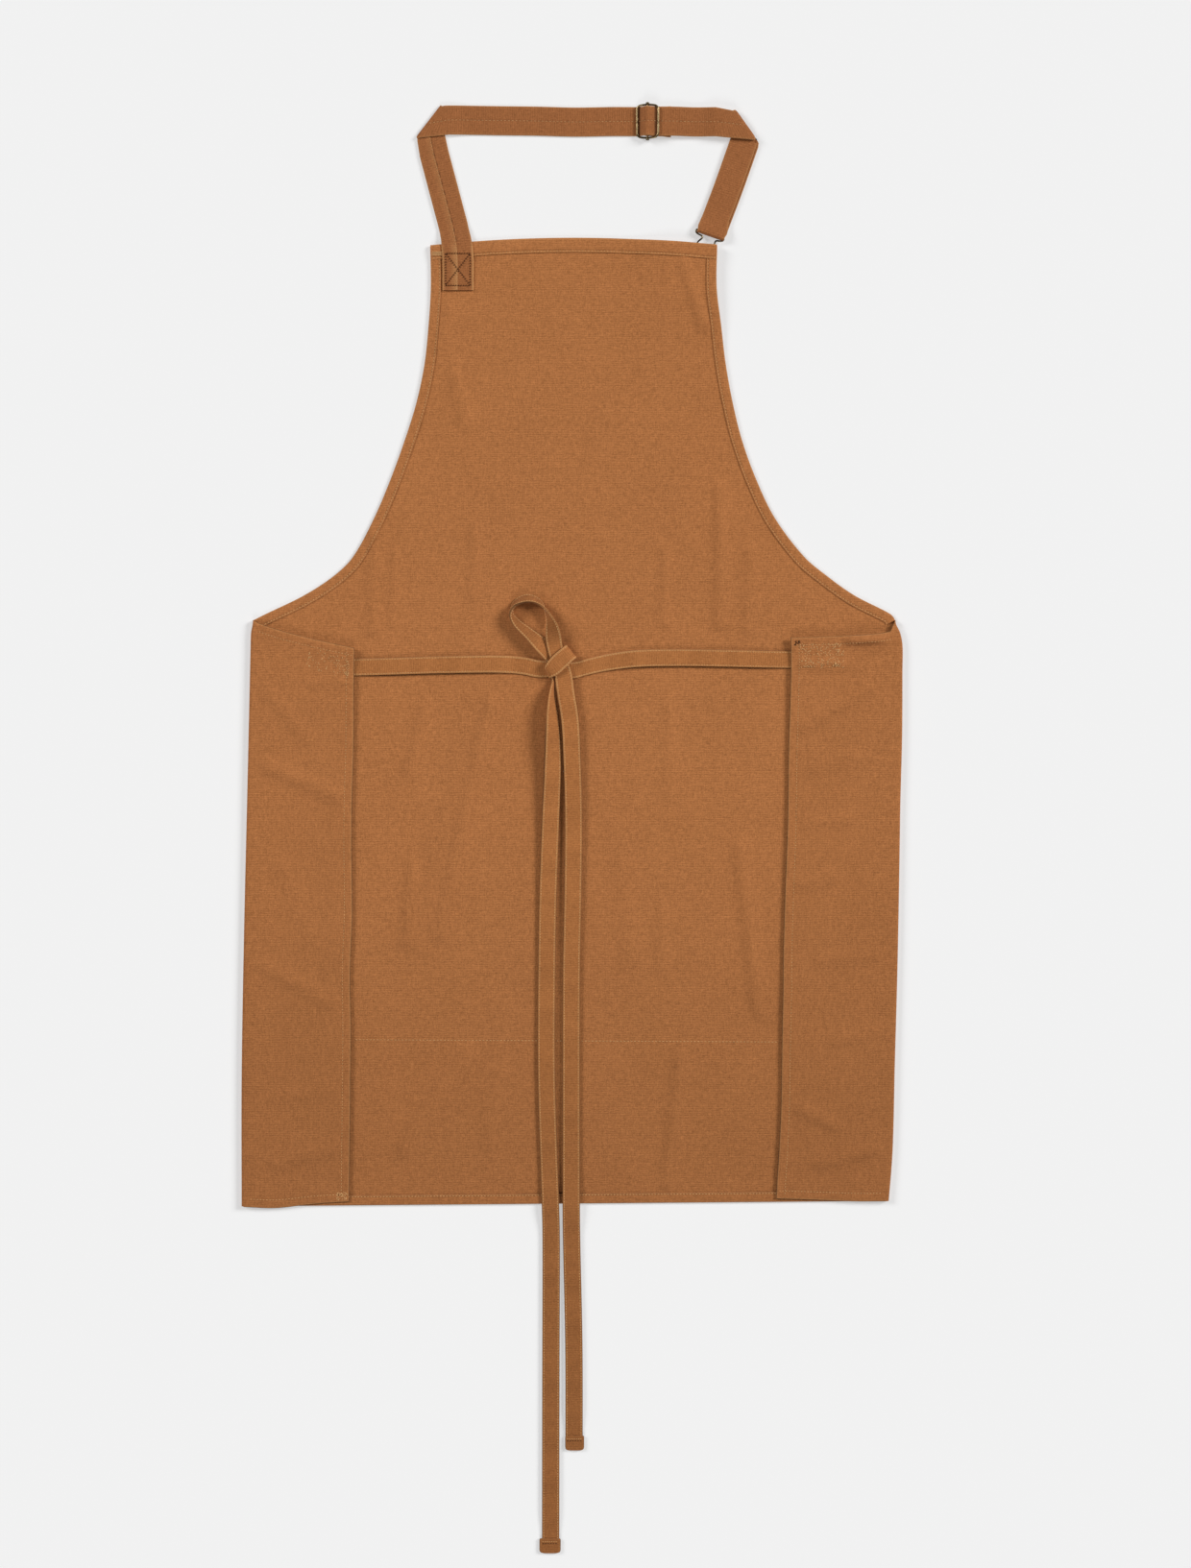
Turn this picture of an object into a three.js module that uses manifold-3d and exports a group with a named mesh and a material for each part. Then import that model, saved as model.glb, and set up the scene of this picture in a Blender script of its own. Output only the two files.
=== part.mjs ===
// A bib apron of brown cotton duck, lying flat on its front with the inner side up.
// Millimetres, +Z up. X runs across the apron, +Y points from the hem to the neck strap.
// The origin is on the ground, in the middle of the apron without its waist ties.

import * as THREE from 'three';
import { mergeVertices } from 'three/addons/utils/BufferGeometryUtils.js';
import Module from 'manifold-3d';

// Driving dimensions

const GAP = 0.3;              // clear space between pieces that touch
const CLOTH = 1.0;            // wall of the apron cloth
const HEM = 1.6;              // wall where the cloth is turned over and sewn
const HEM_WIDTH = 8.4;        // side, armhole and bottom hems
const TOP_HEM_WIDTH = 12.3;   // hem along the bib's top edge
const HEM_STEP = 0.8;         // run of the step from hem to plain cloth
const FOLD_RISE = 4.6;        // height of the rolled fold at each side of the skirt
const FLAP_SAG = 0.7;         // how far a folded side sinks between its fold and its edge
const FLAP_EDGE_RISE = 5.0;   // height of a folded side's free edge
const TAPE = 1.2;             // wall of strap and ties
const STRAP_WIDTH = 25;
const TIE_WIDTH = 15;
const WIRE_RADIUS = 0.9;      // slider and hook wire
const WRAP = WIRE_RADIUS + GAP + TAPE / 2;   // radius of a strap turned round a wire
const LAYER = TAPE + GAP;                    // rise from one strap layer to the next
const GROUND = TAPE / 2;                     // middle of a tape that lies on the ground

// Side outline of bib and armholes: height, left edge, right edge
const ARMHOLE = [
  { y: 34, left: -261, right: 273 },
  { y: 50, left: -228, right: 242 },
  { y: 67, left: -202, right: 218 },
  { y: 83, left: -186, right: 199 },
  { y: 116, left: -168, right: 174 },
  { y: 149, left: -154, right: 158 },
  { y: 182, left: -142, right: 146 },
  { y: 214, left: -132, right: 138 },
  { y: 247, left: -125, right: 132 },
  { y: 280, left: -121.5, right: 128 },
  { y: 313, left: -119.5, right: 124 },
  { y: 349, left: -120, right: 124.5 },
];
const BIB_TOP = { left: 348.9, right: 348.9, bow: 6.5 };

// Skirt sides: height, the two folds, and the free edges of the folded sides
const SKIRT = [
  { y: -470, foldLeft: -281, foldRight: 270, edgeLeft: -187, edgeRight: 175.5 },
  { y: -360, foldLeft: -281, foldRight: 275, edgeLeft: -186, edgeRight: 180 },
  { y: -240, foldLeft: -279, foldRight: 279, edgeLeft: -185, edgeRight: 182 },
  { y: -110, foldLeft: -276, foldRight: 281, edgeLeft: -184, edgeRight: 185 },
  { y: 24, foldLeft: -273, foldRight: 280, edgeLeft: -182, edgeRight: 187 },
];
const HEM_LINE = { left: -471, right: -466.5 };
const CORNER = { left: 29.1, right: 29 };            // where each armhole meets its fold
const FLAP_TOP = {                                   // top edge of each folded side
  left: { drop: 23.8, bow: 0.75 },
  right: { drop: 14.8, bow: 0.15 },
};
const FLAP_LOW = { left: 4, right: 2 };              // rise of its bottom edge towards the free edge

// Soft ridges pressed into the cloth: a line from (x0, y0) to (x1, y1), half width, height
const RIDGES = [
  { x0: -82, y0: -58, x1: -131, y1: -249, half: 22, rise: 2.2 },
  { x0: -166, y0: 99, x1: -169, y1: 24, half: 12, rise: 1.5 },
  { x0: 115, y0: 67, x1: 133, y1: 22, half: 14, rise: 1.8 },
  { x0: 144, y0: -163, x1: 160, y1: -294, half: 15, rise: 2.0 },
  { x0: 95, y0: -343, x1: 96, y1: -437, half: 16, rise: 1.5 },
  { x0: 78, y0: -220, x1: 78, y1: -269, half: 12, rise: 1.2 },
  { x0: -102, y0: 247, x1: -90, y1: 198, half: 14, rise: 1.5 },
];

// The bib's top right corner lies over the hook and the button
const LIFT = { rise: 4.1, x0: 45, x1: 94, y0: 255, y1: 314 };

// Neck strap: sewn end, the two turned corners, the slider and the hook's bar
const STRAP_TOP_Y = 454.4;
const STRAP_LEFT = [
  { x: -96.4, y: 310.7, z: CLOTH + GAP + GROUND },
  { x: -96.4, y: 333.0, z: CLOTH + GAP + GROUND },
  { x: -96.4, y: 336.0, z: HEM + GAP + GROUND },
  { x: -96.8, y: 344.0, z: HEM + GAP + GROUND },
  { x: -98.0, y: 354.0, z: HEM + GAP + GROUND },
  { x: -100.6, y: 366.0, z: GROUND },
  { x: -116.9, y: 427.6, z: GROUND },
];
const CORNER_LEFT = { x: -123.9, y: STRAP_TOP_Y };
const CORNER_RIGHT = { x: 151.4, y: STRAP_TOP_Y };
const HOOK_BAR = { x: 118.8, y: 358.8, z: 2.8 };

// Slider buckle: a rounded wire frame with a centre bar, tilted by the layers under it
const SLIDER = { x: 65.3, y: 454.6, z: 3.9, half: 9.15, halfAcross: 14.2, corner: 2, tilt: 0.163 };
const RIVET = { at: 15.4, radius: 1.5, length: 1.8 };

// Strap over the slider: distance from its centre bar, height of the tape's middle
const OVER_BAR = [
  { u: -14, z: 0.6 }, { u: -10.6, z: 0.6 }, { u: -7.7, z: 0.75 }, { u: -5, z: 2.9 },
  { u: -2.7, z: 6.0 }, { u: -1.3, z: 7.0 }, { u: 0, z: 7.25 }, { u: 1.4, z: 7.15 }, { u: 3, z: 6.5 },
  { u: 5.5, z: 5.0 }, { u: 7.5, z: 3.9 }, { u: 9.2, z: 3.6 }, { u: 13, z: 3.6 },
  { u: 26, z: 3.4 }, { u: 44, z: 2.5 }, { u: 58, z: 5.1 },
];
// Returning layer under it, read from right to left, up to its turn round the centre bar
const UNDER_STRAP = [
  { u: 58, z: 3.6 }, { u: 44, z: 0.9 }, { u: 26, z: 1.9 }, { u: 13, z: 2.1 },
  { u: 9.2, z: 2.1 }, { u: 7.5, z: 2.3 }, { u: 5, z: 3.4 }, { u: 2, z: 5.25 },
];
const STUB = [{ u: 4, z: 1.1 }, { u: 9.2, z: 0.6 }, { u: 21.2, z: 0.6 }];

// Hook wire seen from above: along its bar, and away from the strap
const HOOK_WIRE = [
  { a: -12.6, q: 0 }, { a: -13.8, q: 0.3 }, { a: -14.2, q: 1.5 }, { a: -13.4, q: 3 }, { a: -11, q: 3.9 },
  { a: -6.2, q: 4.3 }, { a: -5.4, q: 5.2 }, { a: -7.7, q: 9.8 }, { a: -8.3, q: 13 },
];
const HOOK_WIRE_RIGHT = [
  { a: 7.3, q: 13 }, { a: 6.2, q: 8.2 }, { a: 6.2, q: 5.4 }, { a: 7.2, q: 4.2 },
  { a: 11, q: 3.9 }, { a: 13.4, q: 3 }, { a: 14.2, q: 1.5 }, { a: 13.8, q: 0.3 }, { a: 12.6, q: 0 },
];
const HOOK_LOOP = { a: -0.5, q: 30, radius: 7.8 };
const BUTTON = { cap: 8.5, capHeight: 1.6, shank: 2 };

// Waist ties: middle of the tape, direction across it, lean, half width
const FLAT = CLOTH + GAP + 0.05 + TAPE / 2;          // middle of a tape that lies on the cloth
const OVER_HEM = FLAT + HEM - CLOTH;
const HALF = TIE_WIDTH / 2 - 0.1;
const TIE_RIGHT = [
  { x: 232, y: -4.5, z: FLAT, turn: 270, lean: 0, half: HALF },
  { x: 185, y: -4.5, z: FLAT, turn: 270, lean: 0, half: HALF },
  { x: 90, y: -2.9, z: FLAT, turn: 270, lean: 0, half: HALF },
  { x: 54, y: -3.9, z: FLAT, turn: 267, lean: 0, half: HALF },
  { x: 30, y: -7.2, z: FLAT, turn: 261, lean: 0, half: HALF },
  { x: 14, y: -10.8, z: 2.1, turn: 259, lean: 0, half: HALF },
  { x: 4.5, y: -13.3, z: 2.9, turn: 259, lean: 0, half: HALF },
  { x: -4, y: -13.4, z: 3.8, turn: 254, lean: 0, half: 7 },
  { x: -11, y: -8, z: 3.9, turn: 238, lean: 0, half: 7 },
  { x: -17, y: 0.4, z: 3.9, turn: 226, lean: 5, half: HALF },
  { x: -26, y: 8.6, z: 5.6, turn: 224, lean: 30, half: HALF },
  { x: -36, y: 17.6, z: 5.7, turn: 222, lean: 36, half: 5.9 },
  { x: -46.7, y: 26.7, z: 5.3, turn: 212, lean: 44, half: 4.8 },
  { x: -51.3, y: 34, z: 5.2, turn: 185, lean: 69, half: 3.6 },
  { x: -49.6, y: 41.4, z: 5.2, turn: 150, lean: 107, half: 3.5 },
  { x: -43.9, y: 45.9, z: 5.2, turn: 118, lean: 130, half: 4.3 },
  { x: -36, y: 47.8, z: 5.2, turn: 88, lean: 136, half: 4.8 },
  { x: -26.7, y: 44.3, z: 5.2, turn: 52, lean: 121, half: 3.95 },
  { x: -20, y: 34.9, z: 5.6, turn: 28, lean: 65, half: 3.7 },
  { x: -16.4, y: 24.2, z: 6.8, turn: 14, lean: 35, half: 6.3 },
  { x: -15, y: 14.4, z: 7.0, turn: 12, lean: 12, half: 7 },
  { x: -13.3, y: 4.2, z: 6.2, turn: 14, lean: -2, half: 6.4 },
  { x: -9.6, y: -7, z: 6.0, turn: 14, lean: 0, half: 6.8 },
  { x: -6.6, y: -17.6, z: 5.8, turn: 10, lean: 0, half: HALF },
  { x: -4.5, y: -33, z: 5.3, turn: 8, lean: 0, half: HALF },
  { x: -0.9, y: -56, z: 4.7, turn: 5, lean: 0, half: HALF },
  { x: 0.9, y: -89, z: 4.0, turn: 2, lean: 0, half: HALF },
  { x: 2.2, y: -138, z: 3.2, turn: 0, lean: 0, half: HALF },
  { x: 1.6, y: -204, z: 2.4, turn: 0, lean: 0, half: HALF },
  { x: 0.4, y: -270, z: FLAT, turn: 0, lean: 0, half: HALF },
  { x: 0.2, y: -450, z: FLAT, turn: 0, lean: 0, half: HALF },
  { x: 0.2, y: -460, z: OVER_HEM, turn: 0, lean: 0, half: HALF },
  { x: 0.2, y: -472, z: OVER_HEM, turn: 0, lean: 0, half: HALF },
  { x: 0.4, y: -494, z: GROUND, turn: 0, lean: 0, half: HALF },
  { x: 2.4, y: -590, z: GROUND, turn: 0, lean: 0, half: HALF },
  { x: 2.6, y: -679.4, z: GROUND, turn: 0, lean: 0, half: HALF },
];
const TIE_LEFT_IN = [
  { x: -227, y: -11, z: FLAT, turn: 90, lean: 0, half: HALF },
  { x: -182, y: -11, z: FLAT, turn: 90, lean: 0, half: HALF },
  { x: -109, y: -9, z: FLAT, turn: 90, lean: 0, half: HALF },
  { x: -57, y: -8.6, z: FLAT, turn: 88, lean: 0, half: HALF },
  { x: -40, y: -10, z: FLAT, turn: 83, lean: 0, half: HALF },
  { x: -28, y: -12.4, z: FLAT, turn: 84, lean: 0, half: HALF },
  { x: -19, y: -12.2, z: FLAT, turn: 98, lean: 0, half: 7 },
  { x: -12, y: -8.2, z: FLAT, turn: 118, lean: 0, half: 7 },
  { x: -7, y: -3.7, z: FLAT, turn: 129, lean: 0, half: 7 },
];
const BAND_TURN = { x: -2.4, y: 0.2, low: FLAT, high: 8.3, turn: 129, heading: 39, half: 7 };
const TIE_LEFT_OUT = [
  { x: -8.6, y: -5.2, z: 8.5, turn: 129, lean: 0, half: HALF },
  { x: -14.0, y: -10.4, z: 8.6, turn: 125, lean: 0, half: HALF },
  { x: -17.2, y: -13.2, z: 8.3, turn: 121, lean: 0, half: 6.7 },
  { x: -20.2, y: -15.9, z: 6.3, turn: 117, lean: 0, half: 4.9 },
  { x: -18.5, y: -17.1, z: 4.1, turn: 106, lean: 0, half: 2.4 },
  { x: -16.6, y: -17.7, z: 3.9, turn: 84, lean: -8, half: 1.8 },
  { x: -14.8, y: -20.6, z: 3.8, turn: 50, lean: -25, half: 2.2 },
  { x: -14.6, y: -23.6, z: 4.3, turn: 25, lean: -52, half: 2.7 },
  { x: -15.3, y: -27.2, z: 5.0, turn: 8, lean: -62, half: 3.6 },
  { x: -16.2, y: -34.9, z: 6.0, turn: 2, lean: -60, half: 5 },
  { x: -16.4, y: -49.6, z: 6.6, turn: 0, lean: -48, half: 6.6 },
  { x: -16, y: -68.5, z: 6.2, turn: -2, lean: -36, half: HALF },
  { x: -16, y: -97, z: 4.6, turn: 0, lean: -20, half: HALF },
  { x: -17.4, y: -138, z: 3.2, turn: 0, lean: -8, half: HALF },
  { x: -19.6, y: -204, z: 2.3, turn: 0, lean: 0, half: HALF },
  { x: -20.7, y: -270, z: FLAT, turn: 0, lean: 0, half: HALF },
  { x: -20.9, y: -360, z: FLAT, turn: 0, lean: 0, half: HALF },
  { x: -18.2, y: -450, z: FLAT, turn: 0, lean: 0, half: HALF },
  { x: -17.8, y: -460, z: OVER_HEM, turn: 0, lean: 0, half: HALF },
  { x: -17.5, y: -472, z: OVER_HEM, turn: 0, lean: 0, half: HALF },
  { x: -17.0, y: -494, z: GROUND, turn: 0, lean: 0, half: HALF },
  { x: -17.2, y: -620, z: GROUND, turn: 0, lean: 0, half: HALF },
  { x: -17.4, y: -767.1, z: GROUND, turn: 0, lean: 0, half: HALF },
];

// Mesh density
const MAIN_COLUMNS = 14;
const FLAP_COLUMNS = 4;
const FOLD_STEPS = 5;
const SKIRT_ROWS = 13;
const BIB_ROWS = 17;
const TURN_STEPS = 5;
const WIRE_SIDES = 8;
const TIE_STEP = 9;
const TIE_TWIST_STEP = 10;

const CLOTH_MATERIAL = { color: 0xa66b3f, roughness: 0.92, metalness: 0 };
const TAPE_MATERIAL = { color: 0xa5683b, roughness: 0.9, metalness: 0 };
const SLIDER_MATERIAL = { color: 0x8d6c3c, roughness: 0.4, metalness: 1 };
const HOOK_MATERIAL = { color: 0x4d4234, roughness: 0.42, metalness: 1 };
const BUTTON_MATERIAL = { color: 0x6f5b3a, roughness: 0.42, metalness: 1 };

const UP = new THREE.Vector3(0, 0, 1);

// Small helpers

function mix(a, b, t) {
  return a + (b - a) * t;
}

function smoothStep(low, high, value) {
  const t = Math.min(1, Math.max(0, (value - low) / (high - low)));
  return t * t * (3 - 2 * t);
}

// A smooth curve through the rows of a table, read at any value of its key column
function curveAt(rows, key, column, at) {
  let i = 0;
  while (i < rows.length - 2 && at > rows[i + 1][key]) {
    i += 1;
  }
  const slope = (j) => {
    const before = rows[Math.max(0, j - 1)];
    const after = rows[Math.min(rows.length - 1, j + 1)];
    return (after[column] - before[column]) / (after[key] - before[key]);
  };
  const width = rows[i + 1][key] - rows[i][key];
  const t = Math.min(1, Math.max(0, (at - rows[i][key]) / width));
  const t2 = t * t;
  const t3 = t2 * t;
  const start = (2 * t3 - 3 * t2 + 1) * rows[i][column] + (t3 - 2 * t2 + t) * width * slope(i);
  const end = (3 * t2 - 2 * t3) * rows[i + 1][column] + (t3 - t2) * width * slope(i + 1);
  return start + end;
}

// A mesh whose triangles all face out
function closedMesh(name, points, triangles, style) {
  let volume = 0;
  for (const [a, b, c] of triangles) {
    volume += points[a].dot(new THREE.Vector3().crossVectors(points[b], points[c]));
  }
  const index = triangles.flatMap(([a, b, c]) => (volume > 0 ? [a, b, c] : [a, c, b]));
  const geometry = new THREE.BufferGeometry();
  geometry.setAttribute('position', new THREE.Float32BufferAttribute(points.flatMap((p) => p.toArray()), 3));
  geometry.setIndex(index);
  geometry.computeVertexNormals();
  const mesh = new THREE.Mesh(geometry, new THREE.MeshStandardMaterial(style));
  mesh.name = name;
  return mesh;
}

// A body skinned over a row of rings, open with two flat ends or closed into a loop.
// Opposite sides are split along the same diagonal, so a twisted tape keeps its wall.
function skin(name, rings, isLoop, style) {
  const sides = rings[0].length;
  const triangles = [];
  const last = isLoop ? rings.length : rings.length - 1;
  for (let i = 0; i < last; i += 1) {
    const here = i * sides;
    const next = ((i + 1) % rings.length) * sides;
    for (let j = 0; j < sides; j += 1) {
      const k = (j + 1) % sides;
      if (2 * j < sides) {
        triangles.push([here + j, next + j, next + k], [here + j, next + k, here + k]);
      } else {
        triangles.push([here + j, next + j, here + k], [next + j, next + k, here + k]);
      }
    }
  }
  if (!isLoop) {
    const end = (rings.length - 1) * sides;
    for (let j = 1; j < sides - 1; j += 1) {
      triangles.push([0, j, j + 1], [end, end + j + 1, end + j]);
    }
  }
  return closedMesh(name, rings.flat(), triangles, style);
}

// A tape: at each station a flat section across the tape, square to the way it runs
function tape(name, stations, style) {
  const rings = stations.map(({ point, across }, i) => {
    const before = stations[Math.max(0, i - 1)].point;
    const after = stations[Math.min(stations.length - 1, i + 1)].point;
    const along = after.clone().sub(before);
    const normal = new THREE.Vector3().crossVectors(along, across).normalize().multiplyScalar(TAPE / 2);
    const corners = [[1, 1], [-1, 1], [-1, -1], [1, -1]];
    return corners.map(([a, n]) => point.clone().addScaledVector(across, a).addScaledVector(normal, n));
  });
  return skin(name, rings, false, style);
}

// Round wire along a flat closed path
function wireLoop(name, path, z, style) {
  const rings = path.map((point, i) => {
    const before = path[(i + path.length - 1) % path.length];
    const after = path[(i + 1) % path.length];
    const along = after.clone().sub(before).normalize();
    const ring = [];
    for (let k = 0; k < WIRE_SIDES; k += 1) {
      const angle = (2 * Math.PI * (k + 0.5)) / WIRE_SIDES;
      const side = Math.cos(angle) * WIRE_RADIUS;
      ring.push(new THREE.Vector3(point.x - along.y * side, point.y + along.x * side,
        z + Math.sin(angle) * WIRE_RADIUS));
    }
    return ring;
  });
  return skin(name, rings, true, style);
}

// Apron cloth

function ridgeHeight(x, y) {
  let height = 0;
  for (const { x0, y0, x1, y1, half, rise } of RIDGES) {
    const line = new THREE.Line3(new THREE.Vector3(x0, y0, 0), new THREE.Vector3(x1, y1, 0));
    const here = new THREE.Vector3(x, y, 0);
    const nearest = line.closestPointToPoint(here, true, new THREE.Vector3());
    const t = Math.min(1, nearest.distanceTo(here) / half);
    height += rise * (1 - t * t) ** 2;
  }
  return height;
}

function clothHeight(x, y) {
  const lift = LIFT.rise * smoothStep(LIFT.x0, LIFT.x1, x) * smoothStep(LIFT.y0, LIFT.y1, y);
  return ridgeHeight(x, y) + lift;
}

// Columns of the flat cloth, as offsets from its left and right edges
function mainColumns(left, right) {
  const inner = HEM_WIDTH + HEM_STEP;
  const columns = [left, left + HEM_WIDTH];
  for (let i = 0; i <= MAIN_COLUMNS; i += 1) {
    columns.push(mix(left + inner, right - inner, i / MAIN_COLUMNS));
  }
  columns.push(right - HEM_WIDTH, right);
  return columns;
}

// Shares of the skirt's height, from its bottom hem to the armholes
function skirtShares() {
  const height = CORNER.left - HEM_LINE.left;
  const shares = [0, HEM_WIDTH / height];
  const first = (HEM_WIDTH + HEM_STEP) / height;
  for (let i = 0; i <= SKIRT_ROWS; i += 1) {
    shares.push(mix(first, 1, i / SKIRT_ROWS));
  }
  return shares;
}

// Shares of the bib's height, close together where the armholes sweep out
function bibShares() {
  const height = BIB_TOP.left - CORNER.left;
  const last = 1 - (TOP_HEM_WIDTH + HEM_STEP) / height;
  const shares = [];
  for (let i = 1; i <= BIB_ROWS; i += 1) {
    shares.push(last * (i / BIB_ROWS) ** 1.5);
  }
  shares.push(1 - TOP_HEM_WIDTH / height, 1);
  return shares;
}

function apronPanel() {
  const radius = FOLD_RISE / 2;
  const points = [];
  const cells = [];
  // The outer face and, one wall further in, the inner face of a point of the cloth
  const addPoint = (outer, inward, wall) => {
    points.push(outer, outer.clone().addScaledVector(inward, wall));
    return points.length / 2 - 1;
  };

  const flapPoint = (side, share, fromEdge, isEdge, isHem) => {
    const name = side < 0 ? 'Left' : 'Right';
    const key = side < 0 ? 'left' : 'right';
    const guess = mix(HEM_LINE[key], CORNER[key], share);
    const fold = curveAt(SKIRT, 'y', `fold${name}`, guess) - side * radius;
    const edge = curveAt(SKIRT, 'y', `edge${name}`, guess);
    const x = mix(edge, fold, fromEdge);
    const top = CORNER[key] - FLAP_TOP[key].drop * (1 - fromEdge) ** FLAP_TOP[key].bow;
    const bottom = HEM_LINE[key] + 1 + FLAP_LOW[key] * (1 - fromEdge) ** 1.5;
    const y = mix(bottom, top, share);
    const sag = FLAP_SAG * Math.sin(Math.PI * fromEdge);
    const z = mix(FLAP_EDGE_RISE, FOLD_RISE, fromEdge) - sag;
    const wall = isEdge || isHem ? HEM : CLOTH;
    return addPoint(new THREE.Vector3(x, y, z), UP.clone().negate(), wall);
  };

  const foldPoint = (side, share, angle) => {
    const name = side < 0 ? 'Left' : 'Right';
    const key = side < 0 ? 'left' : 'right';
    const y = mix(HEM_LINE[key], CORNER[key], share);
    const axis = curveAt(SKIRT, 'y', `fold${name}`, y) - side * radius;
    const inward = new THREE.Vector3(-side * Math.sin(angle), 0, Math.cos(angle));
    const outer = new THREE.Vector3(axis, y, radius).addScaledVector(inward, -radius);
    return addPoint(outer, inward, CLOTH);
  };

  const flapWidth = SKIRT[0].edgeLeft - SKIRT[0].foldLeft;
  const flapShares = [0, HEM_WIDTH / flapWidth];
  for (let i = 0; i <= FLAP_COLUMNS; i += 1) {
    flapShares.push(mix((HEM_WIDTH + HEM_STEP) / flapWidth, 1, i / FLAP_COLUMNS));
  }

  const rows = skirtShares().map((share, r) => {
    const isHem = r < 2;
    const halfRow = (side) => {
      const row = flapShares.map((fromEdge, c) => flapPoint(side, share, fromEdge, c < 2, isHem));
      for (let i = FOLD_STEPS - 1; i > 0; i -= 1) {
        row.push(foldPoint(side, share, (Math.PI * i) / FOLD_STEPS));
      }
      return row;
    };
    const yLeft = mix(HEM_LINE.left, CORNER.left, share);
    const yRight = mix(HEM_LINE.right, CORNER.right, share);
    const left = curveAt(SKIRT, 'y', 'foldLeft', yLeft) + radius;
    const right = curveAt(SKIRT, 'y', 'foldRight', yRight) - radius;
    const main = mainColumns(left, right).map((x) => {
      const y = mix(yLeft, yRight, (x - left) / (right - left));
      return addPoint(new THREE.Vector3(x, y, clothHeight(x, y)), UP, isHem ? HEM : CLOTH);
    });
    const leftRow = halfRow(-1);
    return { all: [...leftRow, ...main, ...halfRow(1).reverse()], main };
  });
  for (let r = 0; r < rows.length - 1; r += 1) {
    for (let c = 0; c < rows[r].all.length - 1; c += 1) {
      cells.push([rows[r].all[c], rows[r].all[c + 1], rows[r + 1].all[c + 1], rows[r + 1].all[c]]);
    }
  }

  const cornerEdge = (key, side) => {
    const name = side < 0 ? 'foldLeft' : 'foldRight';
    return { y: CORNER[key], [key]: curveAt(SKIRT, 'y', name, CORNER[key]) - side * radius };
  };
  const leftEdge = [cornerEdge('left', -1), ...ARMHOLE];
  const rightEdge = [cornerEdge('right', 1), ...ARMHOLE];
  const shares = bibShares();
  let below = rows[rows.length - 1].main;
  shares.forEach((share, r) => {
    const isTopHem = r >= shares.length - 2;
    const yLeft = mix(CORNER.left, BIB_TOP.left, share);
    const yRight = mix(CORNER.right, BIB_TOP.right, share);
    const left = curveAt(leftEdge, 'y', 'left', yLeft);
    const right = curveAt(rightEdge, 'y', 'right', yRight);
    const columns = mainColumns(left, right);
    const row = columns.map((x, c) => {
      const across = (x - left) / (right - left);
      const bow = BIB_TOP.bow * share ** 2 * (1 - (2 * across - 1) ** 2);
      const y = mix(yLeft, yRight, across) + bow;
      const isSideHem = c < 2 || c > columns.length - 3;
      const wall = isTopHem || isSideHem ? HEM : CLOTH;
      return addPoint(new THREE.Vector3(x, y, clothHeight(x, y)), UP, wall);
    });
    for (let c = 0; c < row.length - 1; c += 1) {
      cells.push([below[c], below[c + 1], row[c + 1], row[c]]);
    }
    below = row;
  });

  // Two faces for each cell, and a rim along every edge that only one cell has
  const triangles = [];
  const edges = new Map();
  for (const [a, b, c, d] of cells) {
    triangles.push([2 * a, 2 * c, 2 * b], [2 * a, 2 * d, 2 * c]);
    triangles.push([2 * a + 1, 2 * b + 1, 2 * c + 1], [2 * a + 1, 2 * c + 1, 2 * d + 1]);
    for (const [from, to] of [[a, b], [b, c], [c, d], [d, a]]) {
      const key = from < to ? `${from} ${to}` : `${to} ${from}`;
      edges.set(key, edges.has(key) ? null : [from, to]);
    }
  }
  for (const edge of edges.values()) {
    if (edge) {
      const [from, to] = edge;
      triangles.push([2 * from, 2 * to, 2 * to + 1], [2 * from, 2 * to + 1, 2 * from + 1]);
    }
  }
  return closedMesh('apron_panel', points, triangles, CLOTH_MATERIAL);
}

// Neck strap

// The strap turns over a slanted corner: its middle circles the crease at the given radius
function cornerTurn(stations, corner, crease, outward, radius, isRising, axisHeight) {
  for (let i = 0; i <= TURN_STEPS; i += 1) {
    const angle = (Math.PI * i) / TURN_STEPS;
    const reach = radius * Math.sin(angle);
    const height = radius * Math.cos(angle) * (isRising ? -1 : 1);
    const point = new THREE.Vector3(corner.x, corner.y, axisHeight + height).addScaledVector(outward, reach);
    stations.push({ point, across: crease.clone() });
  }
}

function strapWay() {
  const half = STRAP_WIDTH / 2;
  const last = STRAP_LEFT[STRAP_LEFT.length - 1];
  const rising = new THREE.Vector3(CORNER_LEFT.x - last.x, CORNER_LEFT.y - last.y, 0).normalize();
  const level = new THREE.Vector3(1, 0, 0);
  const falling = new THREE.Vector3(HOOK_BAR.x - CORNER_RIGHT.x, HOOK_BAR.y - CORNER_RIGHT.y, 0).normalize();
  // A crease halves the angle between the two ways the strap runs
  const creaseOf = (from, to) => {
    const line = from.clone().add(to).normalize();
    const outward = from.clone().addScaledVector(line, -from.dot(line)).normalize();
    const length = half / Math.abs(from.dot(outward));
    return { line: line.multiplyScalar(length), outward };
  };
  const left = creaseOf(rising, level);
  const right = creaseOf(level, falling);
  return { half, rising, level, falling, left, right };
}

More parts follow.
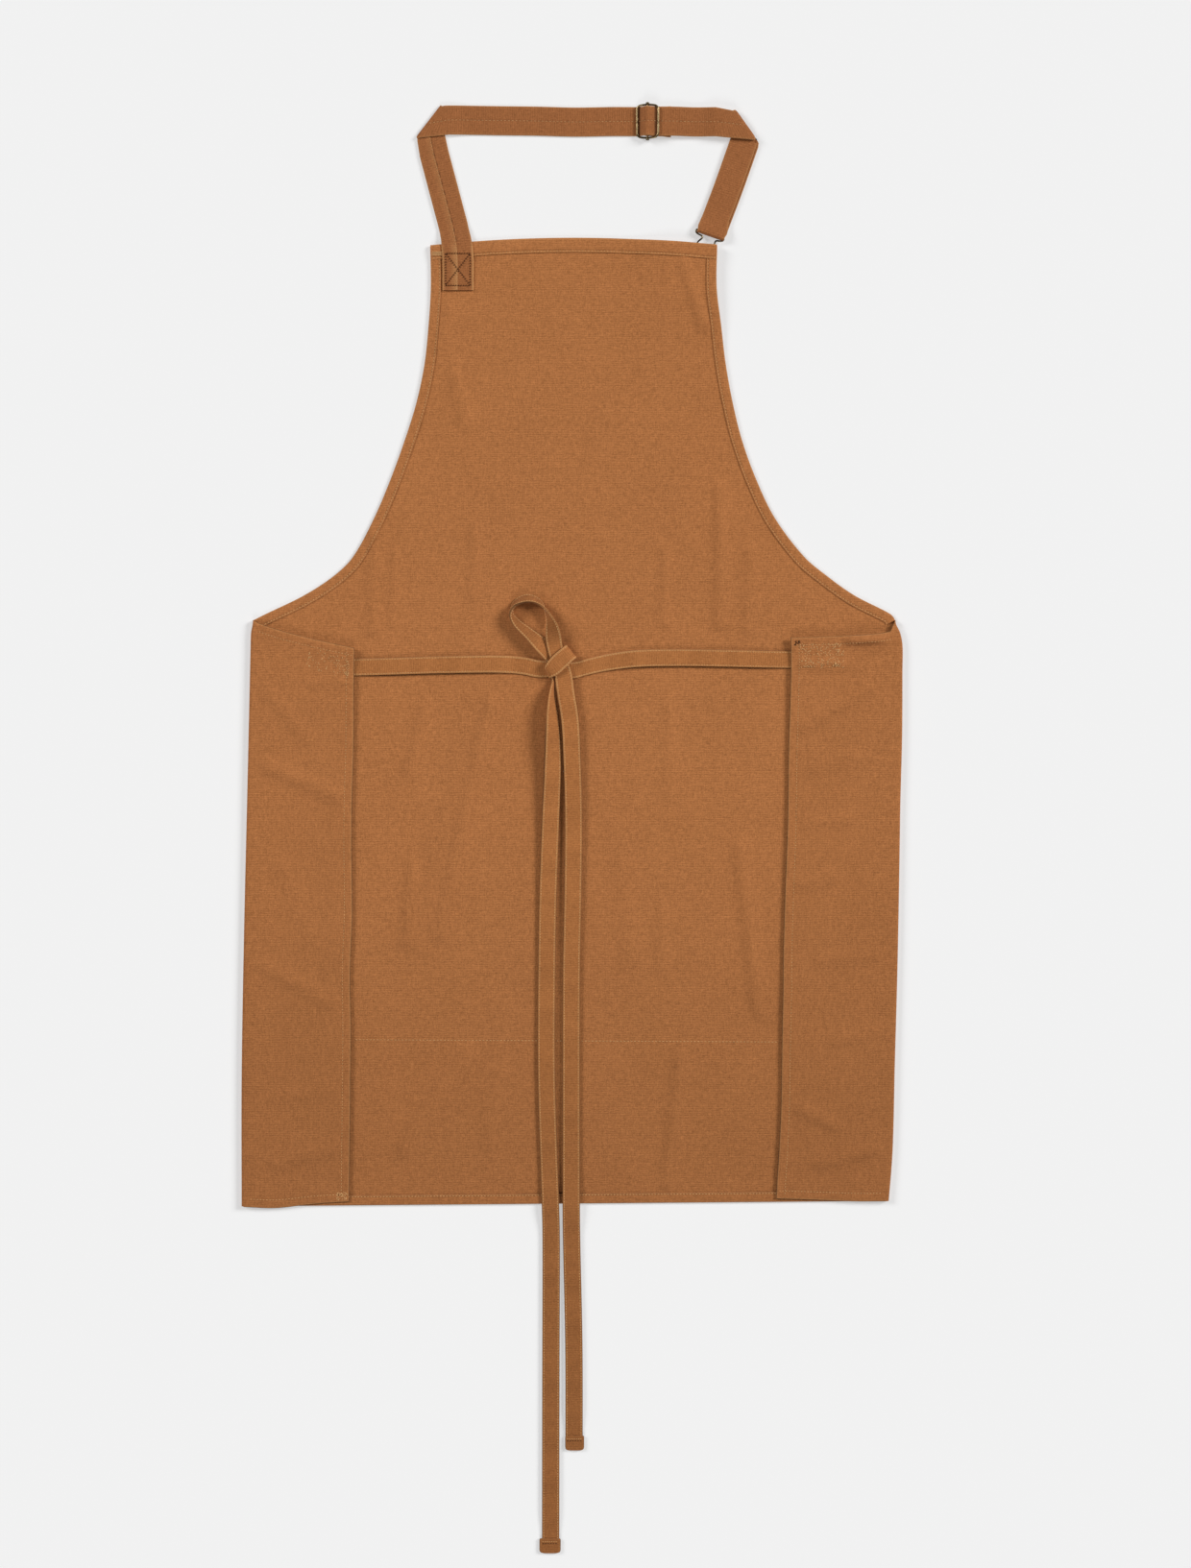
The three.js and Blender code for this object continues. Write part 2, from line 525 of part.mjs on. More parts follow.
function neckStrap() {
  const way = strapWay();
  const stations = [];
  const square = (direction) => new THREE.Vector3(direction.y, -direction.x, 0).multiplyScalar(way.half);
  const levelAcross = square(way.level).negate();
  const fallAcross = square(way.falling);
  const axis = GROUND + LAYER / 2;

  // Sewn end on the bib, and the run up to the left corner
  STRAP_LEFT.forEach(({ x, y, z }, i) => {
    const point = new THREE.Vector3(x, y, z);
    const sewn = smoothStep(2, 5, i);
    const lean = new THREE.Vector3(0, 1, 0).lerp(way.rising, sewn).normalize();
    stations.push({ point, across: square(lean) });
  });
  cornerTurn(stations, CORNER_LEFT, way.left.line, way.left.outward, LAYER / 2, true, axis);

  // Along the top, over the slider's bar, to the right corner
  const level = (x, z) => ({ point: new THREE.Vector3(x, STRAP_TOP_Y, z), across: levelAcross.clone() });
  stations.push(level(-104, GROUND + LAYER), level(-84, GROUND), level(-20, GROUND));
  OVER_BAR.forEach(({ u, z }) => stations.push(level(SLIDER.x + u, z)));
  const rightAxis = GROUND + 1.5 * LAYER;
  const rightCrease = way.right.line.clone().negate();
  cornerTurn(stations, CORNER_RIGHT, rightCrease, way.right.outward, 1.5 * LAYER, false, rightAxis);

  // Down to the hook, round its bar and back up
  const length = Math.hypot(HOOK_BAR.x - CORNER_RIGHT.x, HOOK_BAR.y - CORNER_RIGHT.y);
  const fall = (u, z) => {
    const point = new THREE.Vector3(CORNER_RIGHT.x, CORNER_RIGHT.y, z).addScaledVector(way.falling, u);
    return { point, across: fallAcross.clone() };
  };
  stations.push(fall(14, GROUND), fall(length / 2, GROUND), fall(length - 10, GROUND));
  for (let i = 0; i <= TURN_STEPS; i += 1) {
    const angle = (Math.PI * i) / TURN_STEPS;
    stations.push(fall(length + WRAP * Math.sin(angle), HOOK_BAR.z - WRAP * Math.cos(angle)));
  }
  stations.push(fall(length - 3.5, 4.1), fall(length - 9, 2.7), fall(length - 16, GROUND + LAYER));
  stations.push(fall(length / 2, GROUND + LAYER), fall(14, GROUND + LAYER));

  // Under the first layer, round the centre bar, to the sewn stub
  for (let i = TURN_STEPS; i >= 0; i -= 1) {
    const angle = (Math.PI * i) / TURN_STEPS;
    const point = new THREE.Vector3(CORNER_RIGHT.x, CORNER_RIGHT.y, rightAxis + (LAYER / 2) * Math.cos(angle));
    point.addScaledVector(way.right.outward, (LAYER / 2) * Math.sin(angle));
    stations.push({ point, across: rightCrease.clone() });
  }
  UNDER_STRAP.forEach(({ u, z }) => stations.push(level(SLIDER.x + u, z)));
  for (let i = 0; i <= TURN_STEPS + 1; i += 1) {
    const angle = (Math.PI * i) / (TURN_STEPS + 1);
    stations.push(level(SLIDER.x - WRAP * Math.sin(angle), SLIDER.z + WRAP * Math.cos(angle)));
  }
  STUB.forEach(({ u, z }) => stations.push(level(SLIDER.x + u, z)));
  return tape('neck_strap', stations, TAPE_MATERIAL);
}

// Metal parts

function sliderBuckle(wasm) {
  const { half, halfAcross, corner } = SLIDER;
  const path = [];
  for (const [sx, sy, start] of [[1, 1, 0], [-1, 1, 1], [-1, -1, 2], [1, -1, 3]]) {
    for (let i = 0; i <= 3; i += 1) {
      const angle = (Math.PI / 2) * (start + i / 3);
      path.push(new THREE.Vector2(sx * (half - corner) + corner * Math.cos(angle),
        sy * (halfAcross - corner) + corner * Math.sin(angle)));
    }
  }
  const frame = wireLoop('frame', path, 0, SLIDER_MATERIAL);
  const bar = new THREE.CylinderGeometry(WIRE_RADIUS, WIRE_RADIUS, 2 * RIVET.at, WIRE_SIDES);
  const rivets = [-1, 1].map((side) => {
    const rivet = new THREE.CylinderGeometry(RIVET.radius, RIVET.radius, RIVET.length, 10);
    return rivet.translate(0, side * RIVET.at, 0);
  });
  const solidOf = (geometry) => {
    const plain = geometry.clone();
    plain.deleteAttribute('normal');
    plain.deleteAttribute('uv');
    const merged = mergeVertices(plain, 1e-4);
    const vertProperties = new Float32Array(merged.attributes.position.array);
    const triVerts = new Uint32Array(merged.index.array);
    return new wasm.Manifold(new wasm.Mesh({ numProp: 3, vertProperties, triVerts }));
  };
  const solid = [bar, ...rivets].reduce((sum, piece) => sum.add(solidOf(piece)), solidOf(frame.geometry));
  const { vertProperties, triVerts } = solid.getMesh();
  const points = [];
  for (let i = 0; i < vertProperties.length; i += 3) {
    points.push(new THREE.Vector3(vertProperties[i], vertProperties[i + 1], vertProperties[i + 2]));
  }
  const triangles = [];
  for (let i = 0; i < triVerts.length; i += 3) {
    triangles.push([triVerts[i], triVerts[i + 1], triVerts[i + 2]]);
  }
  const slider = closedMesh('slider_buckle', points, triangles, SLIDER_MATERIAL);
  slider.position.set(SLIDER.x, SLIDER.y, SLIDER.z);
  slider.rotation.y = -SLIDER.tilt;
  return slider;
}

// A point given along the hook's bar and away from the strap
function hookPoint(a, q) {
  const { falling } = strapWay();
  return new THREE.Vector2(HOOK_BAR.x - falling.y * a + falling.x * q, HOOK_BAR.y + falling.x * a + falling.y * q);
}

function wireHook() {
  const { a, q, radius } = HOOK_LOOP;
  const path = HOOK_WIRE.map((row) => hookPoint(row.a, row.q));
  for (let i = 0; i <= 8; i += 1) {
    const angle = Math.PI * (1 - i / 8);
    path.push(hookPoint(a + radius * Math.cos(angle), q + radius * Math.sin(angle)));
  }
  HOOK_WIRE_RIGHT.forEach((row) => path.push(hookPoint(row.a, row.q)));
  return wireLoop('wire_hook', path, HOOK_BAR.z, HOOK_MATERIAL);
}

function bibButton() {
  const top = LIFT.rise - GAP;
  const seat = HOOK_LOOP.radius - WIRE_RADIUS - GAP - BUTTON.shank;
  const place = hookPoint(HOOK_LOOP.a, HOOK_LOOP.q + seat);
  const profile = [
    [0, 0], [BUTTON.cap - 1, 0], [BUTTON.cap, 0.5], [BUTTON.cap, BUTTON.capHeight - 0.4],
    [BUTTON.cap - 0.8, BUTTON.capHeight], [BUTTON.shank, BUTTON.capHeight], [BUTTON.shank, top], [0, top],
  ].map(([x, y]) => new THREE.Vector2(x, y));
  const lathe = new THREE.LatheGeometry(profile, 20);
  lathe.deleteAttribute('normal');
  lathe.deleteAttribute('uv');
  const geometry = mergeVertices(lathe.rotateX(Math.PI / 2), 1e-4);
  const button = new THREE.Mesh(geometry, new THREE.MeshStandardMaterial(BUTTON_MATERIAL));
  button.name = 'bib_button';
  button.position.set(place.x, place.y, 0);
  return button;
}

// Waist ties

// The tape rolls over on itself, from one height up to another
function bandTurn({ x, y, low, high, turn, heading, half }) {
  const rows = [];
  const radius = (high - low) / 2;
  const way = THREE.MathUtils.degToRad(heading);
  for (let i = 0; i <= TURN_STEPS; i += 1) {
    const angle = (Math.PI * i) / TURN_STEPS;
    const reach = radius * Math.sin(angle);
    rows.push({ x: x + reach * Math.cos(way), y: y + reach * Math.sin(way),
      z: (low + high) / 2 - radius * Math.cos(angle), turn, lean: 0, half });
  }
  return rows;
}

function waistTie(name, rows) {
  const curve = new THREE.CatmullRomCurve3(rows.map(({ x, y, z }) => new THREE.Vector3(x, y, z)), false, 'centripetal');
  const stations = [];
  rows.forEach((row, i) => {
    const next = rows[Math.min(rows.length - 1, i + 1)];
    const length = Math.hypot(next.x - row.x, next.y - row.y, next.z - row.z);
    const twist = Math.max(Math.abs(next.turn - row.turn), Math.abs(next.lean - row.lean));
    const wanted = Math.max(length / TIE_STEP, twist / TIE_TWIST_STEP);
    const steps = i === rows.length - 1 ? 1 : Math.min(3, Math.max(1, Math.round(wanted)));
    for (let k = 0; k < steps; k += 1) {
      const t = k / steps;
      const turn = THREE.MathUtils.degToRad(mix(row.turn, next.turn, t));
      const lean = THREE.MathUtils.degToRad(mix(row.lean, next.lean, t));
      const across = new THREE.Vector3(Math.cos(lean) * Math.cos(turn), Math.cos(lean) * Math.sin(turn),
        Math.sin(lean)).multiplyScalar(mix(row.half, next.half, t));
      const point = curve.getPoint((i + t) / (rows.length - 1));
      point.z = Math.max(point.z, GROUND);
      stations.push({ point, across });
    }
  });
  return tape(name, stations, TAPE_MATERIAL);
}

const wasm = await Module();
wasm.setup();

const apron = new THREE.Group();
apron.add(apronPanel());
apron.add(neckStrap());
apron.add(sliderBuckle(wasm));
apron.add(wireHook());
apron.add(bibButton());
apron.add(waistTie('tie_left', [
  ...TIE_LEFT_IN,
  ...bandTurn(BAND_TURN),
  ...TIE_LEFT_OUT,
]));
apron.add(waistTie('tie_right', TIE_RIGHT));

export default apron;
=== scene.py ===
# The looks of a bib apron of brown cotton duck, lying flat with its inner side up.
# Sizes and routes are in millimetres, as in the part's source, and MM turns them into metres.

import math

import bpy
import numpy as np
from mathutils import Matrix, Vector, noise


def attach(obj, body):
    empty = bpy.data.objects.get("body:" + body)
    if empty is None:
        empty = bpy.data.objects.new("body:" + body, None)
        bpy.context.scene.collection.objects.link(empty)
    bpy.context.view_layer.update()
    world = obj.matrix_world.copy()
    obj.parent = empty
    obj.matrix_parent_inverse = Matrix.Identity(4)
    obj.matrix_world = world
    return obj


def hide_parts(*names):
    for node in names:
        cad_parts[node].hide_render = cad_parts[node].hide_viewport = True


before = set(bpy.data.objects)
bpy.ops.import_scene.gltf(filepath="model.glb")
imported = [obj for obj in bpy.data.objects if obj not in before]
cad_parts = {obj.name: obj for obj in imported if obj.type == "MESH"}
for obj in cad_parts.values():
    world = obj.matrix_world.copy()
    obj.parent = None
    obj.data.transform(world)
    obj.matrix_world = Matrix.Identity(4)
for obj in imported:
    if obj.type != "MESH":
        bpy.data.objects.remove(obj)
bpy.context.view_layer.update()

MM = 0.001

# Cloth
CLOTH = 1.0               # wall of the apron cloth
HEM = 1.6                 # wall where a folded side is turned over and sewn
HEM_WIDTH = 8.4           # side, armhole and bottom hems
TOP_HEM_WIDTH = 12.3      # hem along the bib's top edge
HEM_RISE = 1.0            # how far a turned hem stands above the cloth
STITCH_INSET = 1.3        # from a hem's sewn fold to its stitches
FOLD_RISE = 4.6           # height of the rolled fold at each side of the skirt
FLAP_SAG = 0.7            # how far a folded side sinks between its fold and its edge
FLAP_EDGE_RISE = {-1: 3.7, 1: 3.8}   # height of each folded side's free edge
FLAP_EDGE_SHIFT = {-1: -2.6, 1: 0}   # how far that edge has slipped sideways
FLAP_TOP = {"rise": 2.2, "reach": 22}             # how much higher a folded side's top edge stands
TIE_ROOM = {"rise": 0.5, "y": -8, "reach": 50}    # and its free edge, where a waist tie comes out
CLOTH_PITCH = 4.0         # mesh pitch on the cloth

# Side outline of bib and armholes: height, left edge, right edge
ARMHOLE = [
    (34, -261, 273), (50, -228, 242), (67, -202, 218), (83, -186, 199), (116, -168, 174), (149, -154, 158),
    (182, -142, 146), (214, -132, 138), (247, -125, 132), (280, -121.5, 128), (313, -119.5, 124),
    (349, -120, 124.5),
]
BIB_TOP = 348.9
BIB_BOW = 6.5

# Skirt sides: height, left fold, right fold, left free edge, right free edge
SKIRT = [
    (-470, -281, 270, -187, 175.5), (-360, -281, 275, -186, 180), (-240, -279, 279, -185, 182),
    (-110, -276, 281, -184, 185), (24, -273, 280, -182, 187),
]
# How far the right fold stands out beyond that, by height
FOLD_SLIP = [
    (-470, 0.8), (-425, 2.2), (-343, 0.8), (-138, 0), (-64, 1.7), (-15, 2.4), (6, 2.8), (14.4, 1.8),
    (21, 0.2), (26, -1.3), (30, -1.3),
]
HEM_LINE = {-1: -471, 1: -466.5}              # bottom edge at the left and right fold
CORNER = {-1: 29.1, 1: 29}                    # where each armhole meets its fold
FLAP_DROP = {-1: 23.8, 1: 14.8}               # fall of a folded side's top edge
FLAP_BOW = {-1: 0.75, 1: 0.15}
FLAP_LOW = {-1: 4, 1: 2}                      # rise of its bottom edge towards the free edge

# Soft folds in the flat cloth: line from (x0, y0) to (x1, y1), half width, height
RIDGES = [
    (-84, -66, -131, -249, 18, 1.7), (-68, -40, -112, -240, 10, 3.2), (-125, -44, -138, -101, 8, 2.3),
    (-135, -180, -141, -245, 8, 2.1), (-168, 101, -169, 20, 8, 2.3), (-151, 88, -152, 26, 7, 1.6),
    (-82, 108, -83, 49, 8, 1.7), (81, 88, 80, 28, 8, 1.7), (127, 141, 128, 26, 9, 2.3),
    (153, 88, 152, 22, 8, 1.8), (84, -38, 84, -121, 9, 1.7), (144, -163, 160, -304, 10, 2.9),
    (94, -343, 82, -452, 9, 2.7), (78, -220, 78, -269, 9, 1.7), (-89, -343, -141, -421, 15, 3.2),
    (-102, 247, -90, 198, 12, 1.5), (-60, -300, -70, -420, 12, 1.0), (40, -150, 52, -260, 12, 1.0),
    (30, 200, 10, 130, 16, 1.0), (96, 332, 113, 280, 8, 1.9), (-104, 296, -113, 262, 8, 1.6),
]
# Soft folds in the folded sides
FLAP_RIDGES = [
    (-259, -95, -200, -121, 10, 2.2), (-265, -264, -205, -297, 10, 1.6), (-252, -434, -200, -421, 9, 1.9),
    (-262, -30, -225, -70, 10, 1.3), (-246, -180, -222, -240, 12, 1.0), (-250, -380, -205, -372, 9, 1.2),
    (199, -62, 251, -29, 8, 2.1), (201, -146, 240, -140, 8, 1.5), (196, -196, 225, -190, 8, 1.5),
    (214, -262, 262, -256, 9, 1.3), (196, -389, 225, -402, 8, 2.3), (212, -435, 264, -421, 8, 2.8),
    (205, -96, 246, -88, 9, 1.3), (224, -330, 264, -322, 9, 1.3), (238, 11.5, 278, 13, 5.5, 3.4),
    (196, -8, 236, -9, 5.5, 1.7), (-222, -25, -194, -24, 5.5, 1.5),
]
RIPPLE = 0.22                                 # height of the faint unevenness all over the cloth
LIFT = {"rise": 4.1, "x0": 45, "x1": 94, "y0": 255, "y1": 314}   # bib corner over hook and button

# Neck strap
TAPE = 1.2
GAP = 0.3
STRAP_HALF = 12.5
STRAP_TOP_Y = 454.4
LAYER = TAPE + GAP
GROUND = TAPE / 2
ON_CLOTH = CLOTH + GAP + GROUND
ON_HEM = HEM + GAP + GROUND
STRAP_LEFT = [
    (-96.4, 310.7, ON_CLOTH), (-96.4, 333, ON_CLOTH), (-96.4, 336, ON_HEM), (-96.8, 344, ON_HEM),
    (-98, 354, ON_HEM), (-100.6, 366, GROUND), (-116.9, 427.6, GROUND),
]
CORNER_LEFT = (-123.9, STRAP_TOP_Y)
CORNER_RIGHT = (151.4, STRAP_TOP_Y)
HOOK_BAR = (118.8, 358.8, 2.8)

# Slider, and the strap over and under its centre bar: distance from the bar, height
WIRE_RADIUS = 0.9
WRAP = WIRE_RADIUS + GAP + TAPE / 2
SLIDER = {"x": 65.3, "y": 454.6, "z": 3.9, "half": 9.15, "across": 14.2, "corner": 3.0, "tilt": 0.163}
SLIDER_BOW = 0.09         # its rails come in by this share towards the ends of its bars
RIVET = {"at": 15.4, "radius": 1.5, "length": 1.8}
OVER_BAR = [
    (-14, 0.6), (-10.6, 0.6), (-7.7, 0.75), (-5, 2.9), (-2.7, 6.0), (-1.3, 7.0), (0, 7.25), (1.4, 7.15),
    (3, 6.5), (5.5, 5.0), (7.5, 3.9), (9.2, 3.6), (13, 3.6), (26, 3.4), (44, 2.5), (58, 5.1),
]
UNDER_STRAP = [(58, 3.6), (44, 0.9), (26, 1.9), (13, 2.1), (9.2, 2.1), (7.5, 2.3), (5, 3.4), (2, 5.25)]
STUB = [(4, 1.1), (9.2, 0.6), (21.2, 0.6)]

# Hook wire from above: along its bar, away from the strap
HOOK_WIRE = [
    (-11.4, 0), (-12.1, 0.25), (-12.35, 1.2), (-11.7, 2.6), (-9.2, 3.5), (-6.2, 4.1), (-5.4, 5.2),
    (-7.7, 9.8), (-8.3, 13),
]
HOOK_WIRE_RIGHT = [
    (7.3, 13), (6.2, 8.2), (6.2, 5.2), (7.0, 4.0), (9.4, 3.5), (11.7, 2.6), (12.35, 1.2), (12.1, 0.25),
    (11.4, 0),
]
HOOK_LOOP = {"a": -0.5, "q": 30, "radius": 7.8}
HOOK_RADIUS = 0.75
BUTTON = {"cap": 8.5, "height": 1.6, "shank": 2}

# Waist ties: middle of the tape, direction across it, lean, half width.
# A row without the last two is level there and has the whole width.
TIE_HALF = 7.4
FLAT = CLOTH + GAP + 0.05 + TAPE / 2
OVER_HEM = FLAT + HEM - CLOTH
TIE_RIGHT = [
    (232, -4.5, FLAT, 270), (185, -4.5, FLAT, 270), (90, -2.9, FLAT, 270), (54, -3.9, FLAT, 267),
    (30, -7.2, FLAT, 261), (14, -10.8, 2.1, 259), (4.5, -13.3, 2.9, 259), (-4, -13.4, 3.8, 254, 0, 7),
    (-11, -8, 3.9, 238, 0, 7), (-17, 0.4, 3.9, 226, 5, 7.4), (-26, 8.6, 5.6, 224, 30, 7.4),
    (-36, 17.6, 5.7, 222, 36, 5.9), (-46.7, 26.7, 5.3, 212, 44, 4.8), (-51.3, 34, 5.2, 185, 69, 3.6),
    (-49.6, 41.4, 5.2, 150, 107, 3.5), (-43.9, 45.9, 5.2, 118, 130, 4.3), (-36, 47.8, 5.2, 88, 136, 4.8),
    (-26.7, 44.3, 5.2, 52, 121, 3.95), (-20, 34.9, 5.6, 28, 65, 3.7), (-16.4, 24.2, 6.8, 14, 35, 6.3),
    (-15, 14.4, 7.0, 12, 12, 7), (-13.3, 4.2, 6.2, 14, -2, 6.4), (-9.6, -7, 6.0, 14, 0, 6.8),
    (-6.6, -17.6, 5.8, 10), (-4.5, -33, 5.3, 8), (-0.9, -56, 4.7, 5), (0.9, -89, 4.0, 2),
    (2.2, -138, 3.2, 0), (1.6, -204, 2.4, 0), (0.4, -270, FLAT, 0), (0.2, -450, FLAT, 0),
    (0.2, -460, OVER_HEM, 0), (0.2, -472, OVER_HEM, 0), (0.4, -494, GROUND, 0), (2.4, -590, GROUND, 0),
    (2.6, -679.4, GROUND, 0),
]
TIE_LEFT_IN = [
    (-227, -11, FLAT, 90), (-182, -11, FLAT, 90), (-109, -9, FLAT, 90), (-57, -8.6, FLAT, 88),
    (-40, -10, FLAT, 83), (-28, -12.4, FLAT, 84), (-19, -12.2, FLAT, 98, 0, 7),
    (-12, -8.2, FLAT, 118, 0, 7), (-7, -3.7, FLAT, 129, 0, 7),
]
BAND_TURN = {"x": -2.4, "y": 0.2, "low": FLAT, "high": 8.3, "turn": 129, "heading": 39, "half": 7, "steps": 6}
TIE_LEFT_OUT = [
    (-8.6, -5.2, 8.5, 129), (-14.0, -10.4, 8.6, 125), (-17.2, -13.2, 8.3, 121, 0, 6.7),
    (-20.2, -15.9, 6.3, 117, 0, 4.9), (-18.5, -17.1, 4.1, 106, 0, 2.4), (-16.6, -17.7, 3.9, 84, -8, 1.8),
    (-14.8, -20.6, 3.8, 50, -25, 2.2), (-14.6, -23.6, 4.3, 25, -52, 2.7), (-15.3, -27.2, 5.0, 8, -62, 3.6),
    (-16.2, -34.9, 6.0, 2, -60, 5), (-16.4, -49.6, 6.6, 0, -48, 6.6), (-16, -68.5, 6.2, -2, -36, 7.4),
    (-16, -97, 4.6, 0, -20, 7.4), (-17.4, -138, 3.2, 0, -8, 7.4), (-19.6, -204, 2.3, 0),
    (-20.7, -270, FLAT, 0), (-20.9, -360, FLAT, 0), (-18.2, -450, FLAT, 0), (-17.8, -460, OVER_HEM, 0),
    (-17.5, -472, OVER_HEM, 0), (-17.0, -494, GROUND, 0), (-17.2, -620, GROUND, 0),
    (-17.4, -767.1, GROUND, 0),
]

# Camera: the photograph's frame, seen from straight above
IMAGE_HEIGHT = 1633
MM_PER_PIXEL = 0.82
VIEW_CENTRE = (20.9, -110.7)
LENS = 85
SENSOR = 36


# Small helpers

def mix(a, b, t):
    return a + (b - a) * t


def smooth_step(low, high, value):
    t = np.clip((np.asarray(value, float) - low) / (high - low), 0, 1)
    return t * t * (3 - 2 * t)


def curve(rows, column):
    """A smooth curve through a table's rows, as a function of its first column."""
    keys = np.array([row[0] for row in rows], float)
    values = np.array([row[column] for row in rows], float)
    order = np.arange(len(rows))
    before = np.maximum(order - 1, 0)
    after = np.minimum(order + 1, len(rows) - 1)
    slopes = (values[after] - values[before]) / (keys[after] - keys[before])

    def read(at):
        at = np.asarray(at, float)
        i = np.clip(np.searchsorted(keys, at) - 1, 0, len(keys) - 2)
        width = keys[i + 1] - keys[i]
        t = np.clip((at - keys[i]) / width, 0, 1)
        start = (2 * t**3 - 3 * t**2 + 1) * values[i] + (t**3 - 2 * t**2 + t) * width * slopes[i]
        end = (3 * t**2 - 2 * t**3) * values[i + 1] + (t**3 - t**2) * width * slopes[i + 1]
        return start + end

    return read


def spaced(length, edge_steps=()):
    """Distances from 0 to length: the given steps at the start, then an even pitch."""
    first = list(edge_steps) or [0]
    count = max(2, round((length - first[-1]) / CLOTH_PITCH))
    return np.array(first[:-1] + list(np.linspace(first[-1], length, count + 1)))


def distances(points):
    """How far along its line each point is from the first one."""
    return np.concatenate([[0], np.cumsum(np.linalg.norm(np.diff(points, axis=0), axis=1))])


def evenly(rows, pitch):
    """The rows of a line, spaced evenly along their first three columns."""
    rows = np.asarray(rows, float)
    lengths = distances(rows[:, :3])
    at = np.linspace(0, lengths[-1], max(2, round(lengths[-1] / pitch) + 1))
    return np.stack([np.interp(at, lengths, column) for column in rows.T], axis=1)


def unit(vectors):
    return vectors / np.maximum(np.linalg.norm(vectors, axis=-1, keepdims=True), 1e-9)


def ways(points):
    """The direction of a line at each of its points."""
    return unit(np.gradient(points, axis=0))


def add_object(name, data):
    obj = bpy.data.objects.new(name, data)
    bpy.context.scene.collection.objects.link(obj)
    return obj


def piece(name, points, faces, material, uv=None, marks=None, sharp=50):
    """A mesh object made from millimetres, with optional UV and named values at its points."""
    mesh = bpy.data.meshes.new(name)
    mesh.from_pydata((np.asarray(points) * MM).tolist(), [], [list(face) for face in faces])
    if uv is not None:
        layer = mesh.uv_layers.new(name="UVMap")
        corners = np.zeros(len(mesh.loops), int)
        mesh.loops.foreach_get("vertex_index", corners)
        layer.data.foreach_set("uv", (np.asarray(uv)[corners] * MM).astype(np.float32).ravel())
    for mark, values in (marks or {}).items():
        attribute = mesh.attributes.new(mark, "FLOAT", "POINT")
        attribute.data.foreach_set("value", np.asarray(values, np.float32))
    mesh.polygons.foreach_set("use_smooth", [True] * len(mesh.polygons))
    mesh.set_sharp_from_angle(angle=math.radians(sharp))
    mesh.materials.append(material)
    obj = add_object(name, mesh)
    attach(obj, "root")
    return obj


def ring_faces(rings, sides, is_loop):
    """Faces of a tube whose rings follow each other, closed into a loop or capped at both ends."""
    faces = []
    for i in range(rings if is_loop else rings - 1):
        here = i * sides
        after = ((i + 1) % rings) * sides
        for j in range(sides):
            k = (j + 1) % sides
            faces.append((here + j, after + j, after + k, here + k))
    if not is_loop:
        faces.append(tuple(range(sides)))
        faces.append(tuple((rings - 1) * sides + j for j in reversed(range(sides))))
    return faces


def ring(middle, first, second, sides):
    """Points round a middle, from the reach in two directions."""
    angles = 2 * math.pi * np.arange(sides) / sides
    return [np.asarray(middle) + first * math.cos(angle) + second * math.sin(angle) for angle in angles]


# Materials

# Weave of the cotton as stretched noise: scale along each axis, detail, weight in tone, weight in relief
WEAVE = {
    "slub": ((75, 560, 75), 2, 0.3, 0.8),
    "fine_slub": ((300, 1300, 300), 1, 1.0, 1.0),
    "warp": ((1200, 170, 170), 1, 0.8, 0.8),
    "grain": ((1100, 1100, 1100), 2, 1.5, 1.0),
    "mottle": ((16, 11, 16), 1, 0.2, 0),
}
BANDS = ((8, 45, 8), 2)       # broad bands along the cloth: scale, detail
RIB_DRIFT = ((60, 200, 60), 1)
RIBS = {"pitch": 0.0019, "drift": 5.0, "tone": 0.12, "relief": 0.2}   # pitch in metres
# Painted shade: how much the "crease" values darken the cloth; on the folded sides they also hold the outer
# face's own tone
SHADE_AND_TONE_DARK = 0.5
# Pale colour the edges are lightened to: partly wear, partly painted highlight
WORN_AND_HIGHLIT = (0.66, 0.36, 0.14, 1)
TWIST = ((900, 900, 900), 2)  # grain of thread and floor
PATINA = ((260, 260, 260), 4)
SCRATCHES = ((2500, 300, 900), 2)
NOISE_ROUGHNESS = 0.6


def fill(tree, made, inputs):
    """Links or sets a node's inputs."""
    for key, value in inputs.items():
        if isinstance(value, bpy.types.NodeSocket):
            tree.links.new(value, made.inputs[key])
        else:
            made.inputs[key].default_value = value


def node(tree, kind, inputs=None, **settings):
    made = tree.nodes.new(kind)
    for name, value in settings.items():
        setattr(made, name, value)
    fill(tree, made, inputs or {})
    return made


def new_material(name):
    material = bpy.data.materials.new(name)
    material.use_nodes = True
    return material, material.node_tree, material.node_tree.nodes["Principled BSDF"]


def maths(tree, operation, a, b):
    return node(tree, "ShaderNodeMath", {0: a, 1: b}, operation=operation).outputs[0]


def streaks(tree, coords, scale, detail):
    """Noise stretched by different amounts along each axis, about zero."""
    mapping = node(tree, "ShaderNodeMapping", {"Vector": coords, "Scale": scale})
    inputs = {"Vector": mapping.outputs[0], "Scale": 1.0, "Detail": detail, "Roughness": NOISE_ROUGHNESS}
    texture = node(tree, "ShaderNodeTexNoise", inputs)
    return maths(tree, "SUBTRACT", texture.outputs[0], 0.5)


def weighted_sum(tree, start, terms):
    total = start
    for value, weight in terms:
        total = maths(tree, "ADD", total, maths(tree, "MULTIPLY", value, weight))
    return total


def blend(tree, share, first, second):
    """A colour between two others."""
    return node(tree, "ShaderNodeMix", {0: share, 6: first, 7: second}, data_type="RGBA").outputs[2]


def bump(tree, height, strength, distance):
    inputs = {"Height": height, "Strength": strength, "Distance": distance}
    return node(tree, "ShaderNodeBump", inputs).outputs[0]


def point_value(tree, name):
    """A named value of the mesh's points."""
    return node(tree, "ShaderNodeAttribute", attribute_name=name).outputs["Fac"]


